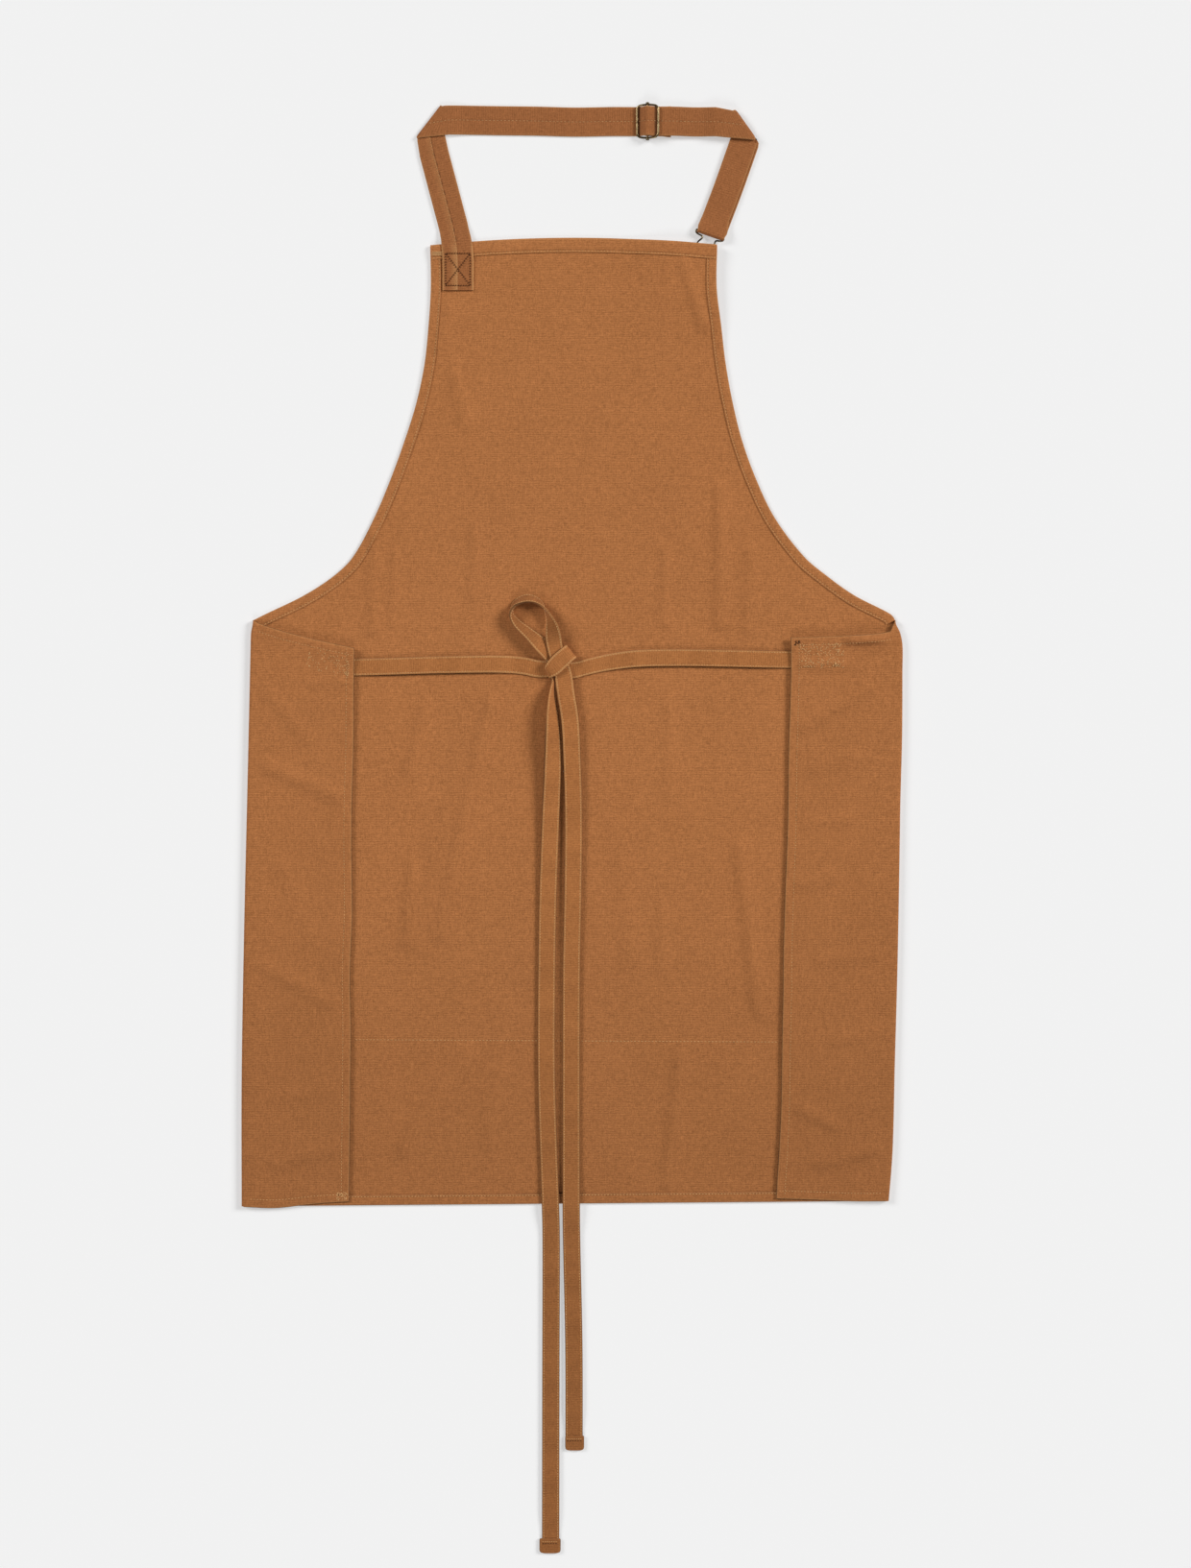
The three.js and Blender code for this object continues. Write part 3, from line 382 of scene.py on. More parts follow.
def cotton(name, dark, light, coordinates, fall, wear_and_highlight, uneven):
    """Cotton duck: fine crosswise ribs, slubs and grain, faint mottling, and edges lightened to the pale
    thread, partly wear and partly painted highlight. fall is a painted shade, darker towards the bottom: the
    shade left at the lower height, and the heights between which it comes in. uneven is the weight of the
    broad bands along the cloth."""
    material, tree, shader = new_material(name)
    place = node(tree, "ShaderNodeTexCoord")
    coords = place.outputs[coordinates]
    values, tones, reliefs = {}, [], []
    for key, (scale, detail, in_tone, in_relief) in WEAVE.items():
        values[key] = streaks(tree, coords, scale, detail)
        tones.append((values[key], in_tone))
        if in_relief:
            reliefs.append((values[key], in_relief))
    along = node(tree, "ShaderNodeSeparateXYZ", {0: coords}).outputs["Y"]
    turns = maths(tree, "MULTIPLY", along, 2 * math.pi / RIBS["pitch"])
    turns = weighted_sum(tree, turns, [(streaks(tree, coords, *RIB_DRIFT), RIBS["drift"])])
    ribs = node(tree, "ShaderNodeMath", {0: turns}, operation="SINE").outputs[0]
    tones += [(ribs, RIBS["tone"]), (streaks(tree, coords, *BANDS), uneven)]
    colour = blend(tree, weighted_sum(tree, 0.5, tones), dark, light)
    # Edges lightened towards the pale colour: wear and painted highlight
    lightened = blend(tree, maths(tree, "MULTIPLY", point_value(tree, "edge"), wear_and_highlight), colour, WORN_AND_HIGHLIT)
    # Painted shade: darker towards the bottom, a falloff of light
    height = node(tree, "ShaderNodeSeparateXYZ", {0: place.outputs["Object"]}).outputs["Y"]
    shade, low, high = fall
    shaded = node(tree, "ShaderNodeMapRange", {0: height, 1: low, 2: high, 3: shade, 4: 1.0},
                  interpolation_type="SMOOTHSTEP").outputs[0]
    # Painted shade in creases, at edges, on the bow's loop and beside the slider's bars, with the folded
    # sides' tone
    shade_and_tone = weighted_sum(tree, 1.0, [(point_value(tree, "crease"), -SHADE_AND_TONE_DARK)])
    value = maths(tree, "MULTIPLY", shaded, shade_and_tone)
    tint = node(tree, "ShaderNodeHueSaturation", {"Value": value, "Color": lightened})
    relief = weighted_sum(tree, 0.0, reliefs + [(ribs, RIBS["relief"])])
    fill(tree, shader, {
        "Base Color": tint.outputs[0],
        "Roughness": weighted_sum(tree, 0.9, [(values["slub"], 0.15), (values["grain"], 0.1)]),
        "Specular IOR Level": 0.15,
        "Sheen Weight": 0.06,
        "Sheen Roughness": 0.5,
        "Normal": bump(tree, relief, 0.4, 0.0003),
    })
    return material


def thread(name, dark, light):
    """Sewing thread with a fine twist."""
    material, tree, shader = new_material(name)
    grain = streaks(tree, node(tree, "ShaderNodeTexCoord").outputs["Object"], *TWIST)
    fill(tree, shader, {
        "Base Color": blend(tree, weighted_sum(tree, 0.5, [(grain, 1.6)]), dark, light),
        "Roughness": weighted_sum(tree, 0.7, [(grain, 0.2)]),
        "Specular IOR Level": 0.12,
    })
    return material


def brass(name, dark, light, roughness):
    """Antique brass: brushed wear over a dark patina."""
    material, tree, shader = new_material(name)
    coords = node(tree, "ShaderNodeTexCoord").outputs["Object"]
    patina = streaks(tree, coords, *PATINA)
    scratch = streaks(tree, coords, *SCRATCHES)
    fill(tree, shader, {
        "Base Color": blend(tree, weighted_sum(tree, 0.5, [(patina, 2.2), (scratch, 0.8)]), dark, light),
        "Roughness": weighted_sum(tree, roughness, [(patina, 0.3), (scratch, 0.2)]),
        "Metallic": 1.0,
        "Normal": bump(tree, scratch, 0.2, 0.00005),
    })
    return material


# Each finish's fall is painted shade: the cloth and the ties are made darker towards the bottom, a falloff of
# light
CLOTH_FINISH = cotton("apron_cloth", (0.276, 0.101, 0.029, 1), (0.512, 0.196, 0.0635, 1), "Object",
                      (0.84, -0.46, -0.08), 0.25, 0.1)
STRAP_FINISH = cotton("strap_cloth", (0.21, 0.074, 0.022, 1), (0.40, 0.148, 0.050, 1), "UV",
                      (1.0, -0.46, -0.08), 0.3, 0.25)
TIE_FINISH = cotton("tie_cloth", (0.262, 0.095, 0.026, 1), (0.485, 0.186, 0.056, 1), "UV",
                    (0.72, -0.62, -0.1), 0.24, 0.75)
THREAD_FINISH = thread("tan_thread", (0.46, 0.23, 0.085, 1), (0.76, 0.45, 0.20, 1))
STRAP_THREAD_FINISH = thread("strap_thread", (0.42, 0.20, 0.075, 1), (0.66, 0.36, 0.16, 1))
DARK_THREAD_FINISH = thread("brown_thread", (0.045, 0.015, 0.005, 1), (0.12, 0.04, 0.013, 1))
SLIDER_FINISH = brass("slider_brass", (0.09, 0.06, 0.028, 1), (0.44, 0.32, 0.165, 1), 0.34)
HOOK_FINISH = brass("hook_brass", (0.04, 0.031, 0.02, 1), (0.23, 0.18, 0.105, 1), 0.36)
BUTTON_FINISH = brass("button_brass", (0.12, 0.08, 0.04, 1), (0.34, 0.24, 0.12, 1), 0.4)


# Camera

def make_camera():
    camera = bpy.data.cameras.new("camera")
    camera.lens = LENS
    camera.sensor_width = SENSOR
    obj = add_object("camera", camera)
    distance = IMAGE_HEIGHT * MM_PER_PIXEL * LENS / SENSOR
    obj.location = Vector((*VIEW_CENTRE, distance)) * MM
    bpy.context.scene.camera = obj


make_camera()


# Tapes: a flat section carried along a line

# From a tie's edge inwards: distance, half wall with a groove for stitches, wear and painted highlight,
# painted shade at the edge
TIE_COLUMNS = [
    (0, 0, 0, 1.6), (0.15, 0.36, 0.5, 1.1), (0.5, 0.56, 0.9, 0), (1.0, 0.58, 0.5, 0), (1.4, 0.46, 0.2, 0),
    (1.9, 0.56, 0, 0), (3.2, 0.6, 0, 0),
]


def half_face(columns, half):
    """Columns from a tape's right edge inwards: place across from 1 to 0, half wall, wear and painted
    highlight, painted shade.
    """
    return [(1 - inset / half, *rest) for inset, *rest in columns]


def mirrored(columns):
    return [(-place, *rest) for place, *rest in columns]


def tie_face():
    right = half_face(TIE_COLUMNS, TIE_HALF)
    return mirrored(right) + [(0.0, TAPE / 2, 0, 0)] + right[::-1]


def tape_mesh(name, centre, across, normal, top, bottom, material, shape=None, crown=0.0, edge_lightening=1.0,
              painted_crease_shade=1.0, painted_shade=0.0):
    """A tape whose faces have the given columns: place across, height above the middle, wear and painted
    highlight,
    painted shade. Along the tape: crown, how much fuller the face on its own side is; then how much the edges
    are lightened, by wear and painted highlight; how strong the painted shade in the creases is; and how much
    painted shade darkens the cloth."""
    section = list(top) + list(bottom)[::-1][1:-1]
    places, heights, wear_and_highlight, dark = np.array(section, float).T
    crown, edge_lightening, painted_crease_shade, painted_shade = (np.broadcast_to(value, len(centre))[:, None]
                                 for value in (crown, edge_lightening, painted_crease_shade, painted_shade))
    rises = heights[None] + crown * (np.sign(heights)[None] == np.sign(crown))
    points = centre[:, None] + across[:, None] * places[None, :, None] + normal[:, None] * rises[:, :, None]
    half = np.linalg.norm(across, axis=1)
    length = np.repeat(distances(centre)[:, None], len(section), axis=1)
    uv = np.stack([half[:, None] * places[None], length], axis=-1)
    faces = ring_faces(len(centre), len(section), False)
    marks = {"edge": (wear_and_highlight[None] * edge_lightening).ravel(), "crease": (dark[None] * painted_crease_shade + painted_shade).ravel()}
    points = points.reshape(-1, 3)
    if shape:
        points = shape(points)
    return piece(name, points, faces, material, uv.reshape(-1, 2), marks, 70)


def smooth_route(rows, step):
    """A centripetal curve through the rows, and the columns after the third read along it."""
    rows = np.asarray(rows, float)
    points = rows[:, :3]
    ends = np.vstack([2 * points[0] - points[1], points, 2 * points[-1] - points[-2]])
    line, rest = [], []
    for i in range(len(rows) - 1):
        p0, p1, p2, p3 = ends[i:i + 4]
        d0, d1, d2 = (max(np.linalg.norm(b - a), 1e-4) ** 0.5 for a, b in ((p0, p1), (p1, p2), (p2, p3)))
        t1 = ((p1 - p0) / d0 - (p2 - p0) / (d0 + d1) + (p2 - p1) / d1) * d1
        t2 = ((p2 - p1) / d1 - (p3 - p1) / (d1 + d2) + (p3 - p2) / d2) * d1
        count = max(2, round(np.linalg.norm(p2 - p1) / step))
        for t in np.arange(count) / count:
            line.append(p1 + t1 * t + (3 * (p2 - p1) - 2 * t1 - t2) * t**2 + (2 * (p1 - p2) + t1 + t2) * t**3)
            rest.append(mix(rows[i, 3:], rows[i + 1, 3:], t))
    line.append(points[-1])
    rest.append(rows[-1, 3:])
    return np.array(line), np.array(rest)


def softened(values, reach):
    """Each value averaged with its neighbours, the ends kept."""
    first = np.repeat(values[:1], reach, axis=0)
    last = np.repeat(values[-1:], reach, axis=0)
    padded = np.concatenate([first, values, last])
    window = np.hanning(2 * reach + 3)[1:-1]
    window = window / window.sum()
    return np.stack([np.convolve(column, window, "valid") for column in padded.T], axis=1)


def tie_route(rows):
    line, rest = smooth_route([(*row, *(0, TIE_HALF)[len(row) - 4:]) for row in rows], TIE_STEP)
    line[:, 2] = np.maximum(line[:, 2], GROUND)
    turn, lean, half = softened(rest, 2).T
    turn = np.radians(turn)
    lean = np.radians(lean)
    across = np.stack([np.cos(lean) * np.cos(turn), np.cos(lean) * np.sin(turn), np.sin(lean)], axis=1)
    normal = unit(np.cross(ways(line), across))
    return line, across * half[:, None], normal


def band_turn(turn):
    """The tape rolls over on itself, from one height up to another."""
    radius = (turn["high"] - turn["low"]) / 2
    way = math.radians(turn["heading"])
    rows = []
    for angle in np.linspace(0, math.pi, turn["steps"]):
        reach = radius * math.sin(angle)
        height = (turn["low"] + turn["high"]) / 2 - radius * math.cos(angle)
        rows.append((turn["x"] + reach * math.cos(way), turn["y"] + reach * math.sin(way), height,
                     turn["turn"], 0, turn["half"]))
    return rows


# Stitches: short rounded threads whose ends sink into the cloth

THREAD_SIDES = 5
THREAD_FLATNESS = 0.8
# Along one stitch: share of its length, rise in thread radii, size
STITCH_RINGS = [(0, -0.5, 0.6), (0.2, 0.35, 1), (0.8, 0.35, 1), (1, -0.5, 0.6)]
# Each row of stitches: pitch, share of it that the thread covers
SEWING = {
    "hem": (2.7, 0.55), "flap": (2.7, 0.5), "skirt_seam": (3.0, 0.6), "tie": (2.3, 0.68),
    "tie_end": (2.0, 0.6), "tie_seam": (2.2, 0.7), "strap": (3.2, 0.55), "box": (2.2, 0.55),
}
THREAD_RADIUS = {"cloth": 0.26, "tack": 0.3, "tie": 0.27, "tie_seam": 0.33, "strap": 0.25, "box": 0.55}
UP = np.array([0.0, 0.0, 1.0])


def dashes(line, up, row):
    """Start, end and direction away from the cloth of each stitch on a line; up is one direction or many."""
    pitch, share = SEWING[row]
    even = evenly(np.hstack([line, np.broadcast_to(up, line.shape)]), pitch)
    return [(here[:3], mix(here[:3], after[:3], share), here[3:]) for here, after in zip(even, even[1:])]


def stitches(name, marks, thread_kind, material):
    """One mesh of all the given stitches."""
    radius = THREAD_RADIUS[thread_kind]
    points, faces = [], []
    for start, end, up in marks:
        way = unit(end - start)
        side = unit(np.cross(up, way))
        above = unit(np.cross(way, side))
        first = len(points)
        for share, rise, size in STITCH_RINGS:
            middle = mix(start, end, share) + above * radius * rise
            reach = radius * size
            points += ring(middle, side * reach, above * THREAD_FLATNESS * reach, THREAD_SIDES)
        faces += [[first + v for v in face] for face in ring_faces(len(STITCH_RINGS), THREAD_SIDES, False)]
    return piece(name, points, faces, material, sharp=80)


# Waist ties

TIE_STEP = 2.0
TIE_CROWN = 1.1           # the doubled tape is this much fuller on its upper face, away from the knot
TIE_TAPER = (0.92, 0.7)   # width of the last two sections, inside the turned end
GROOVE = {"inset": 1.4, "height": 0.5}   # the stitches' groove: from the edge, above the middle
KNOT = np.array([-12.0, -3.0])
KNOT_HIGHLIGHT = 1.2            # painted highlight: how much more the edges are lightened round the knot, for rims catching the light
TAIL_LIGHTENING = 0.35           # how much of the edge lightening, wear and painted highlight, is left on the tails below the hem
LOOP_PAINTED_SHADE = 0.4           # painted shade: the bow's loop is made darker than the rest, for the shade on its faces
# Where values along a tie come in: from, to
CROWN_FROM_START = (42, 80)
CROWN_FROM_END = (14, 40)
CROWN_FROM_KNOT = (28, 70)
TAIL_HEIGHTS = (-500, -440)
HIGHLIGHT_FROM_KNOT = (110, 50)
SHADE_FROM_KNOT = (30, 80)
LOOP_HEIGHTS = (6, 14)
# The turned end of a tie: distance from its upper edge, half width
END_OUTLINE = [
    (0, 7.5), (0.3, 7.8), (1.2, 8.1), (5, 8.1), (9.5, 8.1), (11, 7.8), (11.9, 7.0), (12.3, 5.8), (12.5, 4),
]
END_START = 12.3          # from the tape's end back to the turned end's upper edge
END_FIT = {"tie_left": (-0.5, 1.12), "tie_right": (0.5, 1.0)}   # its shift to the right, and its fullness
END_TOP = 0.75            # how much higher it stands than the tape
END_BOTTOM = -0.55
END_WEAR_AND_HIGHLIGHT = 0.6
END_SEAMS = {"at": (2.6, 4.2), "half": 6.6, "height": 1.3}      # two rows of stitches across it


def tie_end(name, line, across, normal, fit):
    """The tape's end, turned over once and sewn down, and the lines of its two rows of stitches."""
    shift, fullness = fit
    way = unit(line[-1] - line[-3])
    side = unit(across[-1])
    start = line[-1] - way * END_START + side * shift
    at, half = np.array(END_OUTLINE, float).T
    half = half * fullness
    centre = start + way * at[:, None]
    top = [(place, height + END_TOP, END_WEAR_AND_HIGHLIGHT * wear_and_highlight, dark) for place, height, wear_and_highlight, dark in tie_face()]
    bottom = [(place, END_BOTTOM, wear_and_highlight, dark) for place, _, wear_and_highlight, dark in tie_face()]
    normals = np.repeat(normal[-1:], len(at), axis=0)
    end = tape_mesh(name, centre, side * half[:, None], normals, top, bottom, TIE_FINISH)
    rows = []
    for distance in END_SEAMS["at"]:
        middle = start + way * distance + normal[-1] * END_SEAMS["height"]
        rows.append(np.array([middle - side * END_SEAMS["half"], middle + side * END_SEAMS["half"]]))
    return end, rows


def make_tie(name, rows):
    line, across, normal = tie_route(rows)
    across[-2:] *= np.array(TIE_TAPER)[:, None]
    upper = 1 if normal[0, 2] > 0 else -1
    along = distances(line)
    from_knot = np.linalg.norm(line[:, :2] - KNOT, axis=1)
    crown = TIE_CROWN * smooth_step(*CROWN_FROM_START, along)
    crown = crown * smooth_step(*CROWN_FROM_END, along[-1] - along) * smooth_step(*CROWN_FROM_KNOT, from_knot)
    # Edges lightened: wear, less on the tails, and painted highlight round the knot; painted shade at the
    # edges away from the knot and on the bow's loop
    edge_lightening = mix(TAIL_LIGHTENING, 1, smooth_step(*TAIL_HEIGHTS, line[:, 1]))
    edge_lightening = edge_lightening + KNOT_HIGHLIGHT * smooth_step(*HIGHLIGHT_FROM_KNOT, from_knot)
    top = tie_face()
    bottom = [(place, -height, wear_and_highlight, dark) for place, height, wear_and_highlight, dark in top]
    tie = tape_mesh(name + "_tape", line, across, normal, top, bottom, TIE_FINISH,
                    crown=crown * upper, edge_lightening=edge_lightening, painted_crease_shade=smooth_step(*SHADE_FROM_KNOT, from_knot),
                    painted_shade=LOOP_PAINTED_SHADE * smooth_step(*LOOP_HEIGHTS, line[:, 1]))
    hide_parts(name)
    end, (upper_row, lower_row) = tie_end(name + "_end", line, across, normal, END_FIT[name])
    marks = []
    for side in (-1, 1):
        place = side * (1 - GROOVE["inset"] / TIE_HALF)
        for face in (-1, 1):
            height = GROOVE["height"] + crown * (face == upper)
            marks += dashes(line + across * place + normal * face * height[:, None], normal * face, "tie")
    marks += dashes(upper_row, normal[-1], "tie_end")
    sewn = stitches(name + "_stitches", marks, "tie", THREAD_FINISH)
    dark = dashes(lower_row, normal[-1], "tie_seam")
    seam = stitches(name + "_end_stitches", dark, "tie_seam", DARK_THREAD_FINISH)


make_tie("tie_right", TIE_RIGHT)
make_tie("tie_left", TIE_LEFT_IN + band_turn(BAND_TURN) + TIE_LEFT_OUT)


# Apron cloth

FLAP_HEIGHT = CORNER[-1] - HEM_LINE[-1]
FLAP_WIDTH = SKIRT[0][3] - SKIRT[0][1]
FOLD_RADIUS = FOLD_RISE / 2
FOLD_ANGLES = np.linspace(0, math.pi, 9)[-2:0:-1]
FOLD_TOP_SHARE = 0.25     # how much of the fold's bulge is left at its top end
FOLD_TOP_LENGTH = 13      # and how far down it has all of it
FOLD_SOFT = 0.2           # share of a folded side's width where relief comes in beside the fold
EDGE_WAVE = {"size": 1.3, "pitch": 70}               # sideways waver of a folded side's free edge
HEM_DIP = {-1: 2.2, 1: 0.6}          # how far a folded side's bottom edge hangs below the hem line
DIP_PLACE = {"at": 0.3, "reach": 0.25}               # where, as a share of its width from the fold
LOW_BOW = 1.5                        # how its bottom edge bends towards the free edge
RIPPLE_MIDDLE = 0.6                  # share of the unevenness about which it goes up and down
RIPPLE_PITCH = (38, 62)              # across and along the cloth
FINE_RIPPLE = {"pitch": (17, 24), "share": 0.5, "seed": 9}
FLAP_RIPPLE = 0.45
SEED = {"cloth": 3.0, "edge": 4.0, "flap": 7.0, "pucker": 12.0}
HEM_STEP = 0.8            # over which the wall gets thin behind a folded side's hem
FLAP_GROOVE = {"depth": 0.22, "half": 0.9}           # along its stitches
EDGE_ROUND = {"depth": 0.35, "reach": 1.2}
PUCKER = {"rise": 0.35, "pitch": 6, "soft": 2}       # puckers in its hems
EDGE_WEAR_AND_HIGHLIGHT = (1.6, 0.3)    # distances from its edge between which wear and painted highlight come in
EDGE_SHADE = {"dark": 1.5, "reach": 0.6}             # painted shade: a dark line on its very edge
FACE_TONE = 0.07          # the outer side of the cloth, seen on the folded sides, is this much darker
HEM_STEPS = (0, 0.6, 1.4, 3, 5, 6.6, 7.4, 8.4, 9.4, 11.5)
MAIN_COLUMNS = 136
BIB_ROWS = 84
BIB_CROWD = 1.25          # the bib's rows are closer together at its lower end
fold_edge = {-1: curve(SKIRT, 1), 1: curve(SKIRT, 2)}
fold_slip = curve(FOLD_SLIP, 1)
free_edge = {-1: curve(SKIRT, 3), 1: curve(SKIRT, 4)}


def fold_axis(side, y):
    slip = fold_slip(y) if side > 0 else 0
    return fold_edge[side](y) + slip - side * FOLD_RADIUS


def armhole_edge(side):
    start = (CORNER[side], float(fold_axis(side, CORNER[side])))
    column = 1 if side < 0 else 2
    return curve([start] + [(row[0], row[column]) for row in ARMHOLE], 1)


armhole = {-1: armhole_edge(-1), 1: armhole_edge(1)}


def ridge_height(x, y, rows):
    height = np.zeros(np.broadcast(x, y).shape)
    for x0, y0, x1, y1, half, rise in rows:
        length = (x1 - x0) ** 2 + (y1 - y0) ** 2
        share = np.clip(((x - x0) * (x1 - x0) + (y - y0) * (y1 - y0)) / length, 0, 1)
        distance = np.hypot(x - mix(x0, x1, share), y - mix(y0, y1, share))
        t = np.minimum(1, distance / half)
        height = height + rise * (1 - t * t) ** 2
    return height


def noise_at(x, y, seed):
    x, y = np.broadcast_arrays(np.asarray(x, float), np.asarray(y, float))
    values = [noise.noise(Vector((a, b, seed))) for a, b in zip(x.ravel(), y.ravel())]
    return np.array(values).reshape(x.shape)


def ripple(x, y, seed):
    """Faint unevenness of cloth that has been folded and pressed."""
    wide, long = RIPPLE_PITCH
    fine_wide, fine_long = FINE_RIPPLE["pitch"]
    fine = noise_at(x / fine_wide, y / fine_long, seed + FINE_RIPPLE["seed"])
    return noise_at(x / wide, y / long, seed) + FINE_RIPPLE["share"] * fine


def cloth_under(x, y):
    """Height of the flat cloth's lower face."""
    lift = LIFT["rise"] * smooth_step(LIFT["x0"], LIFT["x1"], x) * smooth_step(LIFT["y0"], LIFT["y1"], y)
    uneven = RIPPLE_MIDDLE + (1 - RIPPLE_MIDDLE) * ripple(x, y, SEED["cloth"])
    return ridge_height(x, y, RIDGES) + lift + RIPPLE * uneven


def cloth_top(x, y):
    return cloth_under(x, y) + CLOTH


def flap_point(side, share, from_edge):
    """A point of a folded side's upper face, by its share of the height and of the width."""
    share, from_edge = np.broadcast_arrays(np.asarray(share, float), np.asarray(from_edge, float))
    guess = mix(HEM_LINE[side], CORNER[side], share)
    wave = EDGE_WAVE["size"] * noise_at(0.5 + side, guess / EDGE_WAVE["pitch"], SEED["edge"])
    free = free_edge[side](guess) + FLAP_EDGE_SHIFT[side] + wave
    x = mix(free, fold_axis(side, guess), from_edge)
    from_fold = np.clip(1 - from_edge, 0, 1)
    top = CORNER[side] - FLAP_DROP[side] * from_fold ** FLAP_BOW[side]
    dip = HEM_DIP[side] * np.exp(-((from_fold - DIP_PLACE["at"]) / DIP_PLACE["reach"]) ** 2)
    bottom = HEM_LINE[side] + FLAP_LOW[side] * from_fold ** LOW_BOW - dip
    y = mix(bottom, top, share)
    room = TIE_ROOM["rise"] * np.exp(-((y - TIE_ROOM["y"]) / TIE_ROOM["reach"]) ** 2)
    sag = FLAP_SAG * np.sin(math.pi * from_edge)
    relief = ridge_height(x, y, FLAP_RIDGES) + FLAP_RIPPLE * ripple(x, y, SEED["flap"])
    lifted = FLAP_TOP["rise"] * smooth_step(FLAP_TOP["reach"], 0, top - y)
    z = mix(FLAP_EDGE_RISE[side] + room, FOLD_RISE, from_edge) - sag
    z = z + (relief + lifted) * smooth_step(0, FOLD_SOFT, from_fold)
    return np.stack([x, y, z], axis=-1)


def make_cloth():
    outer, inner, edge, shade = [], [], [], []
    cells = []
    flap_shares = spaced(FLAP_WIDTH, HEM_STEPS) / FLAP_WIDTH
    half_rows = spaced(FLAP_HEIGHT / 2, HEM_STEPS) / FLAP_HEIGHT
    shares = np.concatenate([half_rows, 1 - half_rows[-2::-1]])

    def add(points, inward, wall, wear_and_highlight, tone):
        first = len(outer)
        points = points.reshape(-1, 3)
        inward = np.broadcast_to(inward, points.shape)
        wall = np.broadcast_to(wall, len(points))
        outer.extend(points)
        inner.extend(points + inward * wall[:, None])
        edge.extend(np.broadcast_to(wear_and_highlight, len(points)))
        shade.extend(np.broadcast_to(tone, len(points)))
        return list(range(first, first + len(points)))

    def flap_row(side, share):
        distance = np.minimum(flap_shares * FLAP_WIDTH, min(share, 1 - share) * FLAP_HEIGHT)
        wall = mix(HEM, CLOTH, smooth_step(HEM_WIDTH, HEM_WIDTH + HEM_STEP, distance))
        points = flap_point(side, share, flap_shares)
        from_groove = distance - (HEM_WIDTH - STITCH_INSET)
        points[:, 2] -= FLAP_GROOVE["depth"] * np.exp(-(from_groove / FLAP_GROOVE["half"]) ** 2)
        points[:, 2] -= EDGE_ROUND["depth"] * smooth_step(EDGE_ROUND["reach"], 0, distance)
        pucker = noise_at(points[:, 0] / PUCKER["pitch"], points[:, 1] / PUCKER["pitch"], SEED["pucker"])
        in_hem = smooth_step(HEM_WIDTH + PUCKER["soft"], HEM_WIDTH - PUCKER["soft"], distance)
        points[:, 2] += PUCKER["rise"] * pucker * in_hem
        # Painted shade: a dark line on the very edge, over the outer face's tone
        tone = FACE_TONE + EDGE_SHADE["dark"] * smooth_step(EDGE_SHADE["reach"], 0, distance)
        return add(points, -UP, wall - FLAP_GROOVE["depth"], smooth_step(*EDGE_WEAR_AND_HIGHLIGHT, distance), tone)

    def fold_row(side, share):
        y = mix(HEM_LINE[side], CORNER[side], share)
        inward = np.stack([-side * np.sin(FOLD_ANGLES), 0 * FOLD_ANGLES, np.cos(FOLD_ANGLES)], axis=1)
        middle = np.array([fold_axis(side, y), y, FOLD_RADIUS])
        reach = FOLD_RADIUS * mix(FOLD_TOP_SHARE, 1, smooth_step(0, FOLD_TOP_LENGTH, CORNER[side] - y))
        return add(middle - inward * (reach, 0, FOLD_RADIUS), inward, CLOTH, 0.0, FACE_TONE)

    def main_row(left, right, y_left, y_right, bow):
        across = np.linspace(0, 1, MAIN_COLUMNS + 1)
        x = mix(left, right, across)
        y = mix(y_left, y_right, across) + bow * (1 - (2 * across - 1) ** 2)
        points = np.stack([x, y, cloth_under(x, y)], axis=-1)
        return add(points, UP, CLOTH, 0.0, 0.0)

    def join(below, above):
        for c in range(len(below) - 1):
            cells.append((below[c], below[c + 1], above[c + 1], above[c]))

    rows = []
    for share in shares:
        y = {side: mix(HEM_LINE[side], CORNER[side], share) for side in (-1, 1)}
        main = main_row(fold_axis(-1, y[-1]), fold_axis(1, y[1]), y[-1], y[1], 0)
        left = flap_row(-1, share) + fold_row(-1, share)
        right = flap_row(1, share) + fold_row(1, share)
        rows.append((left + main + right[::-1], main))
    for below, above in zip(rows, rows[1:]):
        join(below[0], above[0])
    below = rows[-1][1]
    for share in (np.arange(1, BIB_ROWS + 1) / BIB_ROWS) ** BIB_CROWD:
        y_left = mix(CORNER[-1], BIB_TOP, share)
        y_right = mix(CORNER[1], BIB_TOP, share)
        row = main_row(armhole[-1](y_left), armhole[1](y_right), y_left, y_right, BIB_BOW * share**2)
        join(below, row)
        below = row

    count = len(outer)
    faces = []
    rim = {}
    for a, b, c, d in cells:
        faces.append((a, d, c, b))
        faces.append((a + count, b + count, c + count, d + count))
        for pair in ((a, b), (b, c), (c, d), (d, a)):
            key = tuple(sorted(pair))
            rim[key] = None if key in rim else pair
    for pair in rim.values():
        if pair:
            start, end = pair
            faces.append((start, end, end + count, start + count))
    marks = {"edge": edge + edge, "crease": shade + shade}
    cloth = piece("apron_cloth", np.array(outer + inner), faces, CLOTH_FINISH, marks=marks)
    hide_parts("apron_panel")
    return cloth


